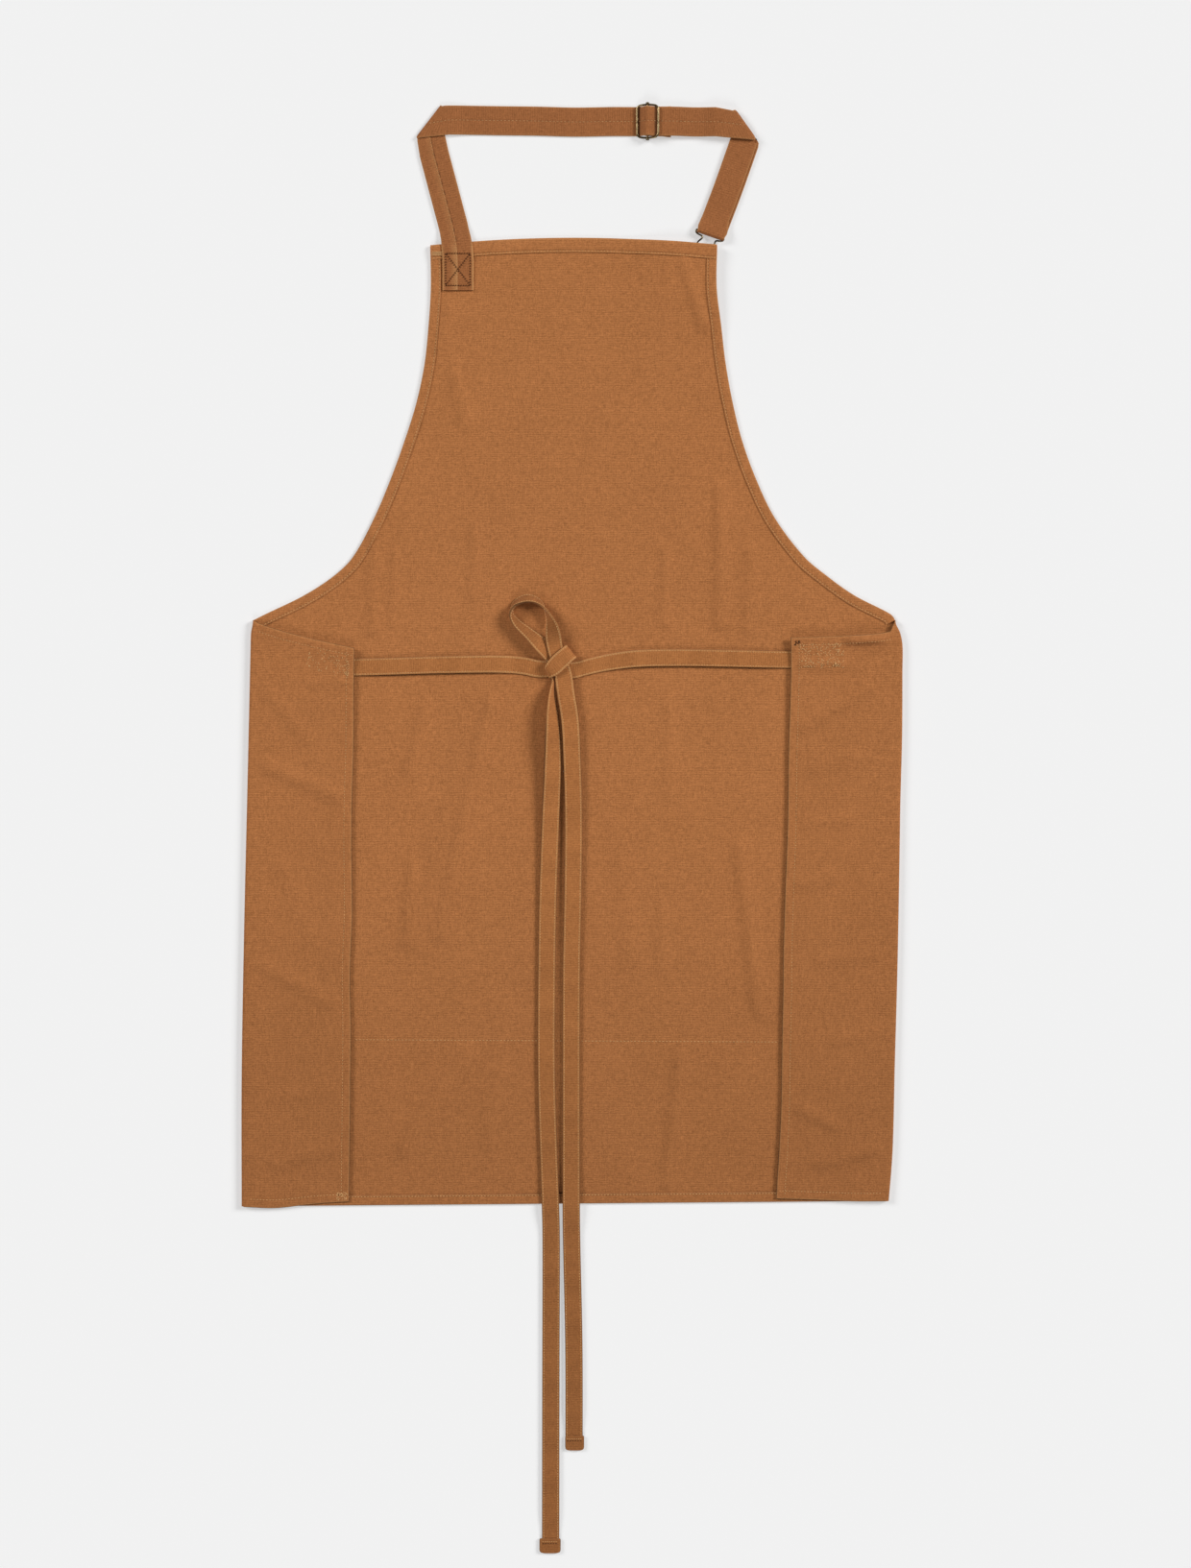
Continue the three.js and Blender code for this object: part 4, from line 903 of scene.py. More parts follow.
# Turned hems on the inner side: distance from the cloth's edge as a share of the width, height as a
# share of the rise, wear and painted highlight on the folds, painted shade in the creases
HEM_SECTION = [
    (-0.01, -0.9, 1, 0), (-0.025, -0.3, 1, 0), (-0.015, 0.4, 1, 0), (0.03, 0.8, 0.6, 0), (0.12, 0.96, 0.1, 0),
    (0.3, 1.0, 0, 0), (0.5, 0.98, 0, 0), (0.7, 0.93, 0, 0), (0.79, 0.82, 0, 0.1), (0.845, 0.55, 0, 0.6),
    (0.89, 0.78, 0.3, 0.1), (0.945, 0.9, 0.6, 0), (0.985, 0.76, 0.5, 0), (1.0, 0.3, 0, 0.7),
    (0.995, -0.2, 0, 1),
]
HEM_PITCH = 3.0
HEM_GROOVE = 0.62         # height of a hem's stitches as a share of its rise
HEM_INSIDE = 0.2          # a hem rests on the cloth from this far inside its edge
SIDE_HEM = {"rise": 0.7, "from": HEM_WIDTH + 1, "to": HEM_WIDTH - 0.6}   # a side hem under the top hem
EDGE_POINTS = {"top": 80, "side": 160, "bottom": 60, "flap_side": 200, "flap_end": 50, "seam": 120}


def hem_band(edge_line, width, base):
    """A turned hem's points and the line of its stitches, beside an edge line whose cloth is on the left."""
    line = evenly(edge_line, HEM_PITCH)
    way = ways(line)
    inward = np.stack([-way[:, 1], way[:, 0]], axis=1)
    share, height, _, _ = np.array(HEM_SECTION).T
    distance = share * width
    place = line[:, None] + inward[:, None] * distance[None, :, None]
    ground = line[:, None] + inward[:, None] * np.clip(distance, HEM_INSIDE, width)[None, :, None]
    z = base(ground[..., 0], ground[..., 1]) + HEM_RISE * height[None]
    sewn = line + inward * (width - STITCH_INSET)
    sewn_z = base(sewn[:, 0], sewn[:, 1]) + HEM_GROOVE * HEM_RISE
    return np.concatenate([place, z[..., None]], axis=-1), np.concatenate([sewn, sewn_z[:, None]], axis=1)


def edge_lines():
    """The cloth's edges with a turned hem on the inner side, each with its inside on the left."""
    share = np.linspace(0, 1, EDGE_POINTS["top"])
    x = mix(float(armhole[-1](BIB_TOP)), float(armhole[1](BIB_TOP)), share)
    lines = {"top": np.stack([x, BIB_TOP + BIB_BOW * (1 - (2 * share - 1) ** 2)], axis=1)[::-1]}
    for side in (-1, 1):
        y = np.linspace(CORNER[side], BIB_TOP - 1, EDGE_POINTS["side"])
        line = np.stack([armhole[side](y), y], axis=1)
        lines[side] = line if side > 0 else line[::-1]
    share = np.linspace(0, 1, EDGE_POINTS["bottom"])
    x = mix(SKIRT[0][1] + FOLD_RISE, SKIRT[0][2] - FOLD_RISE, share)
    lines["bottom"] = np.stack([x, mix(HEM_LINE[-1], HEM_LINE[1], share)], axis=1)
    return lines


def over_side_hems(x, y):
    """Top of the cloth near the bib's top edge, with the side hems under the top hem."""
    from_side = np.minimum(x - armhole[-1](y), armhole[1](y) - x)
    return cloth_top(x, y) + SIDE_HEM["rise"] * smooth_step(SIDE_HEM["from"], SIDE_HEM["to"], from_side)


def make_hems():
    points, faces, marks = [], [], []
    for key, line in edge_lines().items():
        width, base = (TOP_HEM_WIDTH, over_side_hems) if key == "top" else (HEM_WIDTH, cloth_top)
        band, sewn = hem_band(line, width, base)
        first = len(points)
        points.extend(band.reshape(-1, 3))
        faces += [[first + v for v in face] for face in ring_faces(len(band), len(HEM_SECTION), False)]
        marks += dashes(sewn, UP, "hem")
    _, _, wear_and_highlight, crease = np.array(HEM_SECTION).T
    rows = len(points) // len(HEM_SECTION)
    values = {"edge": np.tile(wear_and_highlight, rows), "crease": np.tile(crease, rows)}
    hems = piece("hems", points, faces, CLOTH_FINISH, marks=values)
    return hems, stitches("hem_stitches", marks, "cloth", THREAD_FINISH)


SEAM = {"x0": -184, "x1": 177, "y0": -329, "y1": -331, "rise": 0.05}   # stitch line across the skirt
# Loose bar tacks on the folded sides, from the free edge and the top edge
BAR_TACKS = {
    -1: {"near": 5, "far": 45, "high": 9, "low": 28, "count": 85, "crowd": 1.9},
    1: {"near": 8, "far": 46, "high": 6, "low": 28, "count": 190, "crowd": 1.0},
}
HEM_TACK = {
    "near": 1.5, "far": 11, "high": FLAP_HEIGHT - 10, "low": FLAP_HEIGHT - 1.5, "count": 42, "crowd": 1.0,
}
CORNER_TACK = {"near": 3, "far": 8, "high": 3, "low": 7, "count": 16, "crowd": 1.0}
TACK_THREADS = {
    "length": 1.6, "least": 0.6, "most": 1.2, "turns": [-55, -30, 30, 55], "spread": 12, "seed": 11,
}
BIB_TACK = {"x0": -119.2, "x1": -109.6, "y0": 340.4, "y1": 343.4, "threads": 5}   # on the bib's left corner
FLAP_SEWN = {"rise": -0.1, "top": 2, "bottom": 3, "fold": 4}   # stitches on a folded side: height, ends


def flap_line(side, rows, rise=0.02):
    """A line on a folded side, by distances from its free edge and from its top edge."""
    rows = np.asarray(rows, float)
    line = flap_point(side, 1 - rows[:, 1] / FLAP_HEIGHT, rows[:, 0] / FLAP_WIDTH)
    line[:, 2] += rise
    return line


def tack_marks(side, near, far, high, low, count, crowd):
    """Short stitches strewn over a patch, crowded towards the free edge."""
    chance = np.random.default_rng(TACK_THREADS["seed"] + side)
    least, most = TACK_THREADS["least"], TACK_THREADS["most"]
    marks = []
    for _ in range(count):
        across = mix(near, far, chance.random() ** crowd)
        down = mix(high, low, chance.random())
        turn = math.radians(chance.choice(TACK_THREADS["turns"]) + chance.normal(0, TACK_THREADS["spread"]))
        reach = TACK_THREADS["length"] * mix(least, most, chance.random()) / 2
        step = np.array([reach * math.cos(turn), reach * math.sin(turn)])
        start, end = flap_line(side, [(across, down) - step, (across, down) + step])
        marks.append((start, end, UP))
    return marks


def make_flap_stitches():
    marks = []
    inset = HEM_WIDTH - STITCH_INSET
    down = np.linspace(FLAP_SEWN["top"], FLAP_HEIGHT - FLAP_SEWN["bottom"], EDGE_POINTS["flap_side"])
    over = np.linspace(FLAP_SEWN["top"], FLAP_WIDTH - FLAP_SEWN["fold"], EDGE_POINTS["flap_end"])
    routes = [(0 * down + inset, down), (over, 0 * over + inset), (over, 0 * over + FLAP_HEIGHT - inset)]
    for side in (-1, 1):
        for route in routes:
            marks += dashes(flap_line(side, np.stack(route, 1), FLAP_SEWN["rise"]), UP, "flap")
        marks += tack_marks(side, **BAR_TACKS[side])
    marks += tack_marks(-1, **HEM_TACK)
    for y in np.linspace(BIB_TACK["y0"], BIB_TACK["y1"], BIB_TACK["threads"]):
        z = float(over_side_hems(BIB_TACK["x0"] + 2, y)) + HEM_RISE
        marks.append((np.array([BIB_TACK["x0"], y, z]), np.array([BIB_TACK["x1"], y, z]), UP))
    x = np.linspace(SEAM["x0"], SEAM["x1"], EDGE_POINTS["seam"])
    y = np.linspace(SEAM["y0"], SEAM["y1"], EDGE_POINTS["seam"])
    marks += dashes(np.stack([x, y, cloth_top(x, y) + SEAM["rise"]], axis=1), UP, "skirt_seam")
    knot = stitches("corner_tack", tack_marks(1, **CORNER_TACK), "tack", DARK_THREAD_FINISH)
    return stitches("cloth_stitches", marks, "cloth", THREAD_FINISH), knot


cloth = make_cloth()
hems, hem_stitches = make_hems()
cloth_stitches, corner_tack = make_flap_stitches()


# Neck strap

TURN_STEPS = 14
# From the strap's edge inwards: distance, half wall, wear and painted highlight, painted shade
STRAP_COLUMNS = [
    (0, 0, 1, 0), (0.12, 0.34, 1, 0), (0.4, 0.54, 0.7, 0), (1.0, 0.6, 0.2, 0), (2.5, 0.6, 0, 0),
    (6.0, 0.6, 0, 0),
]
SEAM_STEP = 0.35          # the overlapped half of the strap stands this much higher
# Middle columns of the plain face and of the overlapped face: place across, height, wear and painted
# highlight, painted shade in the crease
PLAIN_MIDDLE = [(-0.05, 0.6, 0, 0), (0.0, 0.5, 0, 0.5), (0.05, 0.6, 0, 0.5), (0.1, 0.6, 0, 0)]
SEAM_MIDDLE = [
    (-0.08, -0.6 - SEAM_STEP, 0.4, 0), (-0.035, -0.5 - SEAM_STEP, 0.6, 0.3), (-0.02, -0.5, 0, 1.5),
    (0.03, -0.55, 0, 1.2), (0.07, -0.6, 0, 0),
]
SEAM_SHADE = {"pitch": 8.3, "middle": 0.42, "sway": 0.38}   # the painted shade in the creases comes and goes in dashes
STRAP_ROWS = [(-1, 0.6 + SEAM_STEP, -0.07), (1, 0.56, 0.0)]   # stitches: face, height, place across
# Heights above the sewn end between which the strap turns to its slope, loses its spread and its edge
# wear and painted highlight, and the painted shade in its crease comes in
SEWN_TURN = (340, 366)
SEWN_SPREAD = {"share": 0.055, "from": 362, "to": 346}
# Painted highlight: the sewn end's edges are lightened, for its folds catching the light
END_HIGHLIGHT = {"more": 1.6, "from": 352, "to": 345, "beside": 4}
CREASE_SHADE_HEIGHTS = (344, 356)
EDGE_REACH = 1.3          # from a fold's middle line out to its edge
TIP_RADII = {"left_low": 6, "left_high": 2.5, "right_high": 6, "right_low": 4.8}
TUCK = {"left": 2.5, "right": 5.6}   # how far each turned corner is drawn in
CORNER_ZONE = 60          # the corners' tips are looked for this near to the level run
LEVEL_ZONE = 4            # stations this near to it belong to the level run
# Distance between stations on each run
STEPS = {"sewn": 2.0, "level": 3.0, "bar": 1.0, "fall": 4.0, "back": 2.5, "under": 1.5, "stub": 2.0}
CORNER_STEPS = 6
LONG_CORNER_STEPS = 8
# Waver of the strap's level run: place along it, sideways shift
STRAP_WAVE = [
    (-124, 1.2), (-94, 1.6), (-61, 1.2), (-28, 0.8), (4, 0), (37, 0.5), (65, 0.3), (86, 0.3), (103, -0.1),
    (119, -0.3), (132, -0.7), (152, -0.9),
]
# Sideways shift of the run down to the hook: distance from the corner, shift to the right
FALL_WAVE = [(0, 1.6), (16, 2.4), (24, 2.4), (60, 2.0), (101, 0.6)]
FALL_START = 10           # from the right corner down to the first station of that run
FALL_END = 9              # and from its last one to the hook's bar
NEAR_HOOK = [(6, 0.7), (4, 0.8), (2, 0.9)]   # distance from the hook's bar, height
HOOK_PINCH = {"share": 0.04, "reach": 5}     # the strap is pressed narrower at the bar
BACK = [(3.5, 4.1), (9, 2.7), (16, GROUND + LAYER)]   # the returning layer: distance from the bar, height
BACK_END = 13             # from its last station to the corner
BACK_SHIFT = {"left": 1.0, "from": 4, "to": 16, "width": (1.03, 0.92)}   # it lies to the left and is narrow
UNDER_WIDTH = 0.98
STUB_SPREAD = {"share": 0.06, "from": 12, "to": 18}
CORNER_OUT = 3.6          # the lower layers at the right corner lie this far out from the fold's tip
LEVEL_START = -104        # where the level run begins beside the left corner
LEVEL_DOWN = (-84, -20)   # where it has come down to the ground
TIP_RISE = 4.1            # the left corner's upper tip is drawn up along its fold by this
SLIDER_BAR_SHADE = {"at": (-6.9, 6.3), "reach": 0.75, "dark": 1.3}   # painted shade beside the slider's bars, where the strap dips under them
BOX_POINTS = 20
BOX_RISE = 0.05
BOX = {"x0": -106.9, "x1": -85.9, "y0": 314.7, "y1": 342.0}   # sewn box on the strap's end


def strap_faces():
    """Columns of the plain face, and of the face with the overlapped seam."""
    right = half_face(STRAP_COLUMNS, STRAP_HALF)
    plain = mirrored(right) + PLAIN_MIDDLE + right[::-1]
    seam = [(-place, -height - SEAM_STEP * (height > 0), wear_and_highlight, dark) for place, height, wear_and_highlight, dark in right]
    seam += SEAM_MIDDLE + [(place, -height, wear_and_highlight, dark) for place, height, wear_and_highlight, dark in right[::-1]]
    return plain, seam


def direction(start, end):
    return unit(np.array([end[0] - start[0], end[1] - start[1], 0.0]))


LEVEL = np.array([1.0, 0.0, 0.0])
AHEAD = np.array([0.0, 1.0, 0.0])
RISING = direction(STRAP_LEFT[-1], CORNER_LEFT)
FALLING = direction(CORNER_RIGHT, HOOK_BAR)


def crease(before, after):
    """Half of the line that a strap folds on where it turns, and the direction out of the fold."""
    line = unit(before + after)
    outward = unit(before - line * before.dot(line))
    return line * STRAP_HALF / abs(before.dot(outward)), outward


# The two turned corners: place, half of the fold line, direction out of the fold
FOLDS = {"left": (CORNER_LEFT, *crease(RISING, LEVEL)), "right": (CORNER_RIGHT, *crease(LEVEL, FALLING))}


def fold_middle(corner, z):
    """Middle of a turned corner's fold line, drawn in by its tuck."""
    place, _, outward = FOLDS[corner]
    return np.array([*place, z]) - outward * TUCK[corner]


def rounded_tip(points, tip, first, second, radius):
    """Points drawn in so that a sharp tip becomes an arc; first and second run along its two sides."""
    inward = unit(first + second)
    half = math.acos(first.dot(second)) / 2
    centre = tip + inward * radius / math.sin(half)
    offset = points[:, :2] - centre[:2]
    along = offset @ -inward[:2]
    aside = offset @ np.array([-inward[1], inward[0]])
    angle = np.abs(np.arctan2(aside, along))
    limit = math.pi / 2 - half
    scale = np.where(angle < limit, np.cos(limit - angle), 1.0)
    rounded = points.copy()
    rounded[:, :2] = centre[:2] + offset * scale[:, None]
    return rounded


def strap_shape(points):
    """The strap's two turned corners with soft tips."""
    _, left_line, left_out = FOLDS["left"]
    _, right_line, right_out = FOLDS["right"]
    left = fold_middle("left", 0.0) + left_out * EDGE_REACH
    right = fold_middle("right", 0.0) + right_out * (EDGE_REACH + LAYER)
    near = np.abs(points[:, 1] - STRAP_TOP_Y) < CORNER_ZONE
    raised = left + left_line
    past_tip = np.clip(1 - (points[:, 0] - raised[0]) / (LEVEL_START - raised[0]), 0, 1)
    share = near * past_tip * np.clip((points[:, 1] - STRAP_TOP_Y) / STRAP_HALF, 0, 1)
    points += unit(left_line) * TIP_RISE * share[:, None]
    raised = raised + unit(left_line) * TIP_RISE
    tips = [
        (left - left_line, unit(left_line), -RISING, TIP_RADII["left_low"]),
        (raised, -unit(left_line), LEVEL, TIP_RADII["left_high"]),
        (right - right_line, unit(right_line), -LEVEL, TIP_RADII["right_high"]),
        (right + right_line + LEVEL * CORNER_OUT, -LEVEL, FALLING, TIP_RADII["right_low"]),
    ]
    for tip, first, second, radius in tips:
        close = near & (np.linalg.norm(points[:, :2] - tip[:2], axis=1) < 2 * STRAP_HALF)
        points[close] = rounded_tip(points[close], tip, first, second, radius)
    return points


def square(way):
    return np.array([way[1], -way[0], 0.0]) * STRAP_HALF


def strap_stations():
    """Middle of the strap, and half its width across it, from the sewn end to the stub at the slider."""
    stations = []
    wave = curve(STRAP_WAVE, 1)
    turn = np.linspace(0, math.pi, TURN_STEPS)
    left_line = FOLDS["left"][1]
    right_line = -FOLDS["right"][1]

    def corner(name, line, radius, middle, angles, rise):
        outward = FOLDS[name][2]
        for angle in angles:
            point = fold_middle(name, middle + rise * radius * math.cos(angle))
            stations.append((point + outward * radius * math.sin(angle), line))

    def bridge(point, across, steps=CORNER_STEPS):
        """Even steps from the last station to the next one."""
        start, start_across = stations[-1]
        for share in np.arange(1, steps) / steps:
            stations.append((mix(start, point, share), mix(start_across, across, share)))

    def level_station(x, z, width=1.0):
        return np.array([x, STRAP_TOP_Y + float(wave(x)), max(GROUND, z)]), -square(LEVEL) * width

    def at_bar(u, z, width=1.0):
        stations.append(level_station(SLIDER["x"] + u, z, width))

    for point in evenly(STRAP_LEFT, STEPS["sewn"]):
        way = unit(mix(AHEAD, RISING, smooth_step(*SEWN_TURN, point[1])))
        spread = 1 + SEWN_SPREAD["share"] * smooth_step(SEWN_SPREAD["from"], SEWN_SPREAD["to"], point[1])
        stations.append((point, square(way) * spread))
    bridge(fold_middle("left", GROUND), left_line)
    corner("left", left_line, LAYER / 2, GROUND + LAYER / 2, turn, -1)
    bridge(*level_station(LEVEL_START, GROUND + LAYER))

    over = curve(OVER_BAR, 1)
    level_end = SLIDER["x"] + OVER_BAR[0][0]
    flat = curve([(LEVEL_START, GROUND + LAYER)] + [(x, GROUND) for x in (*LEVEL_DOWN, level_end)], 1)
    for x in np.arange(LEVEL_START, level_end, STEPS["level"]):
        stations.append(level_station(x, float(flat(x))))
    for u in np.arange(OVER_BAR[0][0], OVER_BAR[-1][0] + 0.1, STEPS["bar"]):
        at_bar(u, float(over(u)))
    outer = 1.5 * LAYER
    middle = GROUND + outer
    bridge(fold_middle("right", middle + outer), right_line, LONG_CORNER_STEPS)
    corner("right", right_line, outer, middle, turn, 1)

    length = math.dist(HOOK_BAR[:2], CORNER_RIGHT)
    fall_wave = curve(FALL_WAVE, 1)

    def fall_station(u, z, shift=0.0, width=1.0):
        place = np.array([*CORNER_RIGHT, z]) + FALLING * u
        across = square(FALLING)
        return place + unit(across) * (shift - float(fall_wave(u))), across * width

    def fall(u, z):
        pinch = HOOK_PINCH["share"] * float(smooth_step(HOOK_PINCH["reach"], 0, length - u))
        stations.append(fall_station(u, z, 0.0, 1 - pinch))

    bridge(*fall_station(FALL_START, GROUND))
    for u in np.arange(FALL_START, length - FALL_END, STEPS["fall"]):
        fall(u, GROUND)
    for from_hook, z in NEAR_HOOK:
        fall(length - from_hook, z)
    for angle in turn:
        fall(length + WRAP * math.sin(angle), HOOK_BAR[2] - WRAP * math.cos(angle))
    back = curve(BACK + [(length - BACK_END - 1, GROUND + LAYER)], 1)
    for u in np.arange(BACK[0][0], length - BACK_END, STEPS["back"]):
        shifted = float(smooth_step(BACK_SHIFT["from"], BACK_SHIFT["to"], u))
        width = mix(*BACK_SHIFT["width"], shifted)
        stations.append(fall_station(length - u, float(back(u)), BACK_SHIFT["left"] * shifted, width))
    bridge(fold_middle("right", GROUND + LAYER), right_line)
    corner("right", right_line, LAYER / 2, middle, turn[::-1], 1)

    under = curve([(-u, z) for u, z in UNDER_STRAP], 1)
    for u in np.arange(UNDER_STRAP[0][0], UNDER_STRAP[-1][0] - 0.1, -STEPS["under"]):
        at_bar(u, float(under(-u)), UNDER_WIDTH)
    for angle in turn:
        at_bar(-WRAP * math.sin(angle), SLIDER["z"] + WRAP * math.cos(angle))
    stub = curve(STUB, 1)
    for u in np.arange(STUB[0][0], STUB[-1][0] + 0.1, STEPS["stub"]):
        spread = STUB_SPREAD["share"] * float(smooth_step(STUB_SPREAD["from"], STUB_SPREAD["to"], u))
        at_bar(u, float(stub(u)), 1 + spread)
    points, lines = zip(*stations)
    return np.array(points), np.array(lines)


def box_marks():
    """Stitches of the sewn box and its two diagonals."""
    x0, x1, y0, y1 = BOX["x0"], BOX["x1"], BOX["y0"], BOX["y1"]
    corners = [(x0, y0), (x1, y0), (x1, y1), (x0, y1), (x0, y0), (x1, y1)]
    share = np.linspace(0, 1, BOX_POINTS)
    top = CLOTH + GAP + TAPE + BOX_RISE
    marks = []
    for (xa, ya), (xb, yb) in list(zip(corners, corners[1:])) + [((x1, y0), (x0, y1))]:
        line = np.stack([mix(xa, xb, share), mix(ya, yb, share), 0 * share + top], axis=1)
        line[:, 2] += (HEM - CLOTH) * smooth_step(STRAP_LEFT[1][1], STRAP_LEFT[2][1], line[:, 1])
        line[:, 2] += SEAM_STEP * (line[:, 0] < STRAP_LEFT[0][0])
        marks += dashes(line, UP, "box")
    return marks


def make_strap():
    centre, across = strap_stations()
    normal = unit(np.cross(ways(centre), across))
    plain, seam = strap_faces()
    is_level = np.abs(centre[:, 1] - STRAP_TOP_Y) < LEVEL_ZONE
    from_bar = centre[:, 0] - SLIDER["x"]
    # Painted shade beside the slider's bars
    painted_shade = sum(is_level * np.exp(-((from_bar - at) / SLIDER_BAR_SHADE["reach"]) ** 2) for at in SLIDER_BAR_SHADE["at"])
    is_end = centre[:, 0] < BOX["x1"] + END_HIGHLIGHT["beside"]
    edge_lightening = 1 + END_HIGHLIGHT["more"] * is_end * smooth_step(END_HIGHLIGHT["from"], END_HIGHLIGHT["to"], centre[:, 1])
    turns = 2 * math.pi * distances(centre) / SEAM_SHADE["pitch"]
    # No painted shade in the creases on the sewn end and on the run down to the hook
    is_fall = (centre[:, 0] > HOOK_BAR[0] - STRAP_HALF) & ~is_level
    painted_crease_shade = SEAM_SHADE["middle"] + SEAM_SHADE["sway"] * np.sin(turns)
    painted_crease_shade = painted_crease_shade * smooth_step(*CREASE_SHADE_HEIGHTS, centre[:, 1]) * ~is_fall
    strap = tape_mesh("neck_strap_tape", centre, across, normal, plain, seam, STRAP_FINISH,
                      strap_shape, edge_lightening=edge_lightening, painted_crease_shade=painted_crease_shade, painted_shade=painted_shade * SLIDER_BAR_SHADE["dark"])
    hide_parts("neck_strap")
    marks = []
    for face, height, place in STRAP_ROWS:
        line = strap_shape(centre + normal * face * height + across * place)
        sewn = dashes(line, normal * face, "strap")
        # On the plain face the thread is sunk out of sight away from the level run
        marks += [mark for mark in sewn if face < 0 or mark[0][1] > STRAP_TOP_Y - STRAP_HALF]
    stitches("strap_stitches", marks, "strap", STRAP_THREAD_FINISH)
    stitches("box_stitches", box_marks(), "box", DARK_THREAD_FINISH)


make_strap()


# Metal parts

SLIDER_SIDES = 16
HOOK_SIDES = 14
BUTTON_SIDES = 32
CORNER_POINTS = 8         # of the slider's frame
RAIL_POINTS = 7
BAR_POINTS = 9
LOOP_POINTS = 13
WIRE_STEP = 1.0
# A rivet: place along it as a share of its length, size
RIVET_PROFILE = [(-0.5, 0.72), (-0.42, 0.95), (0, 1.04), (0.3, 0.95), (0.45, 0.7), (0.52, 0.3)]


def tube(name, path, radius, sides, is_loop, material):
    path = np.asarray(path, float)
    if is_loop:
        way = unit(np.roll(path, -1, axis=0) - np.roll(path, 1, axis=0))
    else:
        way = ways(path)
    flat = unit(np.cross(UP, way))
    up = np.cross(way, flat)
    points = [ring(middle, radius * f, radius * u, sides) for middle, f, u in zip(path, flat, up)]
    faces = ring_faces(len(path), sides, is_loop)
    return piece(name, np.concatenate(points), faces, material, sharp=60)


def tilted(points):
    """Points of the slider, turned to the slope of the strap and put in place."""
    points = np.asarray(points, float)
    c, s = math.cos(SLIDER["tilt"]), math.sin(SLIDER["tilt"])
    x = points[:, 0] * c - points[:, 2] * s
    z = points[:, 0] * s + points[:, 2] * c
    return np.stack([x + SLIDER["x"], points[:, 1] + SLIDER["y"], z + SLIDER["z"]], axis=1)


def make_slider():
    half, across, corner = SLIDER["half"], SLIDER["across"], SLIDER["corner"]
    path = []

    def add(x, y):
        path.append((x, y * (1 - SLIDER_BOW * (x / half) ** 2), 0))

    for quarter, (sx, sy) in enumerate([(1, 1), (-1, 1), (-1, -1), (1, -1)]):
        start = quarter * math.pi / 2
        for angle in np.linspace(start, start + math.pi / 2, CORNER_POINTS):
            x = sx * (half - corner) + corner * math.cos(angle)
            add(x, sy * (across - corner) + corner * math.sin(angle))
        if sx == sy:
            end = path[-1][0]
            for x in np.linspace(end, -end, RAIL_POINTS)[1:-1]:
                add(x, sy * across)
    rail = tube("slider_frame", tilted(path), WIRE_RADIUS, SLIDER_SIDES, True, SLIDER_FINISH)
    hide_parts("slider_buckle")
    bar = [(0, y, 0) for y in np.linspace(-RIVET["at"], RIVET["at"], BAR_POINTS)]
    tube("slider_bar", tilted(bar), WIRE_RADIUS, SLIDER_SIDES, False, SLIDER_FINISH)
    faces = ring_faces(len(RIVET_PROFILE), SLIDER_SIDES, False)
    for name, side in (("slider_rivet_low", -1), ("slider_rivet_high", 1)):
        points = []
        for along, size in RIVET_PROFILE:
            middle = (0, side * (RIVET["at"] + RIVET["length"] * along), 0)
            points += ring(middle, LEVEL * RIVET["radius"] * size, UP * RIVET["radius"] * size, SLIDER_SIDES)
        piece(name, tilted(points), faces, HOOK_FINISH, sharp=60)


def hook_point(a, q):
    """A point of the hook, from distances along its bar and away from the strap."""
    return (HOOK_BAR[0] - FALLING[1] * a + FALLING[0] * q, HOOK_BAR[1] + FALLING[0] * a + FALLING[1] * q,
            HOOK_BAR[2])


def make_hook():
    radius = HOOK_LOOP["radius"]
    route = list(HOOK_WIRE)
    for angle in np.linspace(math.pi, 0, LOOP_POINTS):
        route.append((HOOK_LOOP["a"] + radius * math.cos(angle), HOOK_LOOP["q"] + radius * math.sin(angle)))
    path = [hook_point(a, q) for a, q in route + HOOK_WIRE_RIGHT]
    line, _ = smooth_route([path[-1]] + path + [path[0]], WIRE_STEP)
    wire = tube("hook_wire", line[1:-1], HOOK_RADIUS, HOOK_SIDES, True, HOOK_FINISH)
    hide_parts("wire_hook")


def make_button():
    top = LIFT["rise"] - GAP
    seat = HOOK_LOOP["radius"] - WIRE_RADIUS - GAP - BUTTON["shank"]
    x, y, _ = hook_point(HOOK_LOOP["a"], HOOK_LOOP["q"] + seat)
    cap, height, shank = BUTTON["cap"], BUTTON["height"], BUTTON["shank"]
    # Dished cap with a round rim, then the shank: radius, height
    profile = [
        (0.4, 0.25), (cap * 0.55, 0.22), (cap * 0.66, 0.05), (cap - 0.9, 0), (cap - 0.25, 0.25), (cap, 0.7),
        (cap, height - 0.5), (cap - 0.4, height - 0.1), (cap - 1, height), (shank + 0.3, height),
        (shank, height + 0.3), (shank, top),
    ]
    points = []
    for radius, z in profile:
        points += ring((x, y, z), LEVEL * radius, AHEAD * radius, BUTTON_SIDES)
    faces = ring_faces(len(profile), BUTTON_SIDES, False)
    button = piece("button", points, faces, BUTTON_FINISH, sharp=40)
    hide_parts("bib_button")


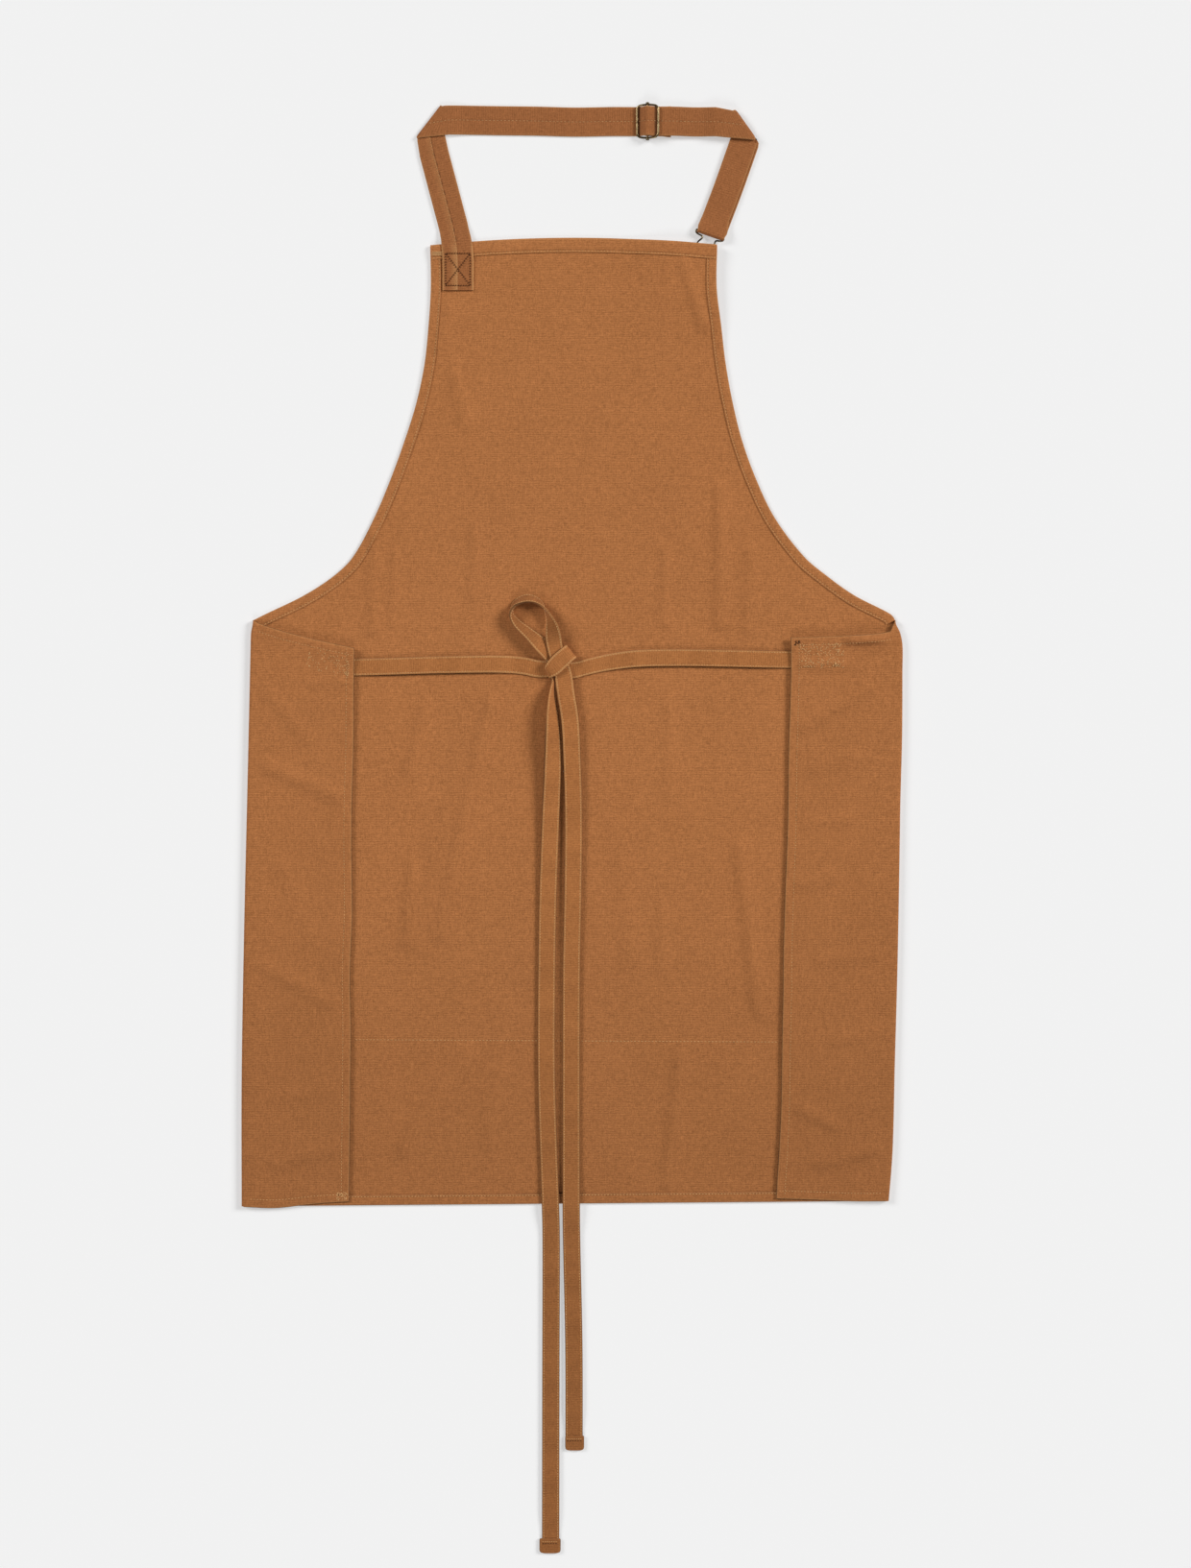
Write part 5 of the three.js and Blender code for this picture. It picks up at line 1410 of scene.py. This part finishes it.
make_slider()
make_hook()
make_button()


# Floor and light

# Soft lamps round the table: azimuth from +Y towards +X, elevation, share of the light
LAMPS = [(66, 30, 0.47), (-66, 30, 0.32), (180, 33, 0.15)]
LAMP_SIZE = 22            # apparent size in degrees
SKY_SHARE = 0.06
FLOOR_WHITE = 0.45        # the floor's own white, and its glow as on a light table
FLOOR_GLOW = 0.43
FLOOR_REACH = 40.0        # metres
FLOOR_HEIGHT = -0.0004


def make_floor():
    mesh = bpy.data.meshes.new("floor")
    corners = [(-1, -1), (1, -1), (1, 1), (-1, 1)]
    points = [(x * FLOOR_REACH, y * FLOOR_REACH, FLOOR_HEIGHT) for x, y in corners]
    mesh.from_pydata(points, [], [(0, 1, 2, 3)])
    material, tree, shader = new_material("floor_paper")
    grain = streaks(tree, node(tree, "ShaderNodeTexCoord").outputs["Object"], *TWIST)
    fill(tree, shader, {
        "Base Color": (FLOOR_WHITE, FLOOR_WHITE, FLOOR_WHITE, 1),
        "Emission Color": (1, 1, 1, 1),
        "Emission Strength": FLOOR_GLOW,
        "Roughness": 0.95,
        "Specular IOR Level": 0.1,
        "Normal": bump(tree, grain, 0.05, 0.0001),
    })
    mesh.materials.append(material)
    add_object("floor", mesh)


def make_light():
    for i, (azimuth, elevation, share) in enumerate(LAMPS):
        around, up = math.radians(azimuth), math.radians(elevation)
        lamp = bpy.data.lights.new(f"lamp_{i}", "SUN")
        lamp.energy = math.pi * share / math.sin(up)
        lamp.angle = math.radians(LAMP_SIZE)
        towards = Vector((math.sin(around) * math.cos(up), math.cos(around) * math.cos(up), math.sin(up)))
        add_object(f"lamp_{i}", lamp).rotation_euler = towards.to_track_quat("Z", "Y").to_euler()
    world = bpy.data.worlds.new("studio")
    world.use_nodes = True
    background = world.node_tree.nodes["Background"]
    background.inputs["Color"].default_value = (1, 1, 1, 1)
    background.inputs["Strength"].default_value = SKY_SHARE
    bpy.context.scene.world = world
    bpy.context.scene.view_settings.view_transform = "Standard"


make_floor()
make_light()
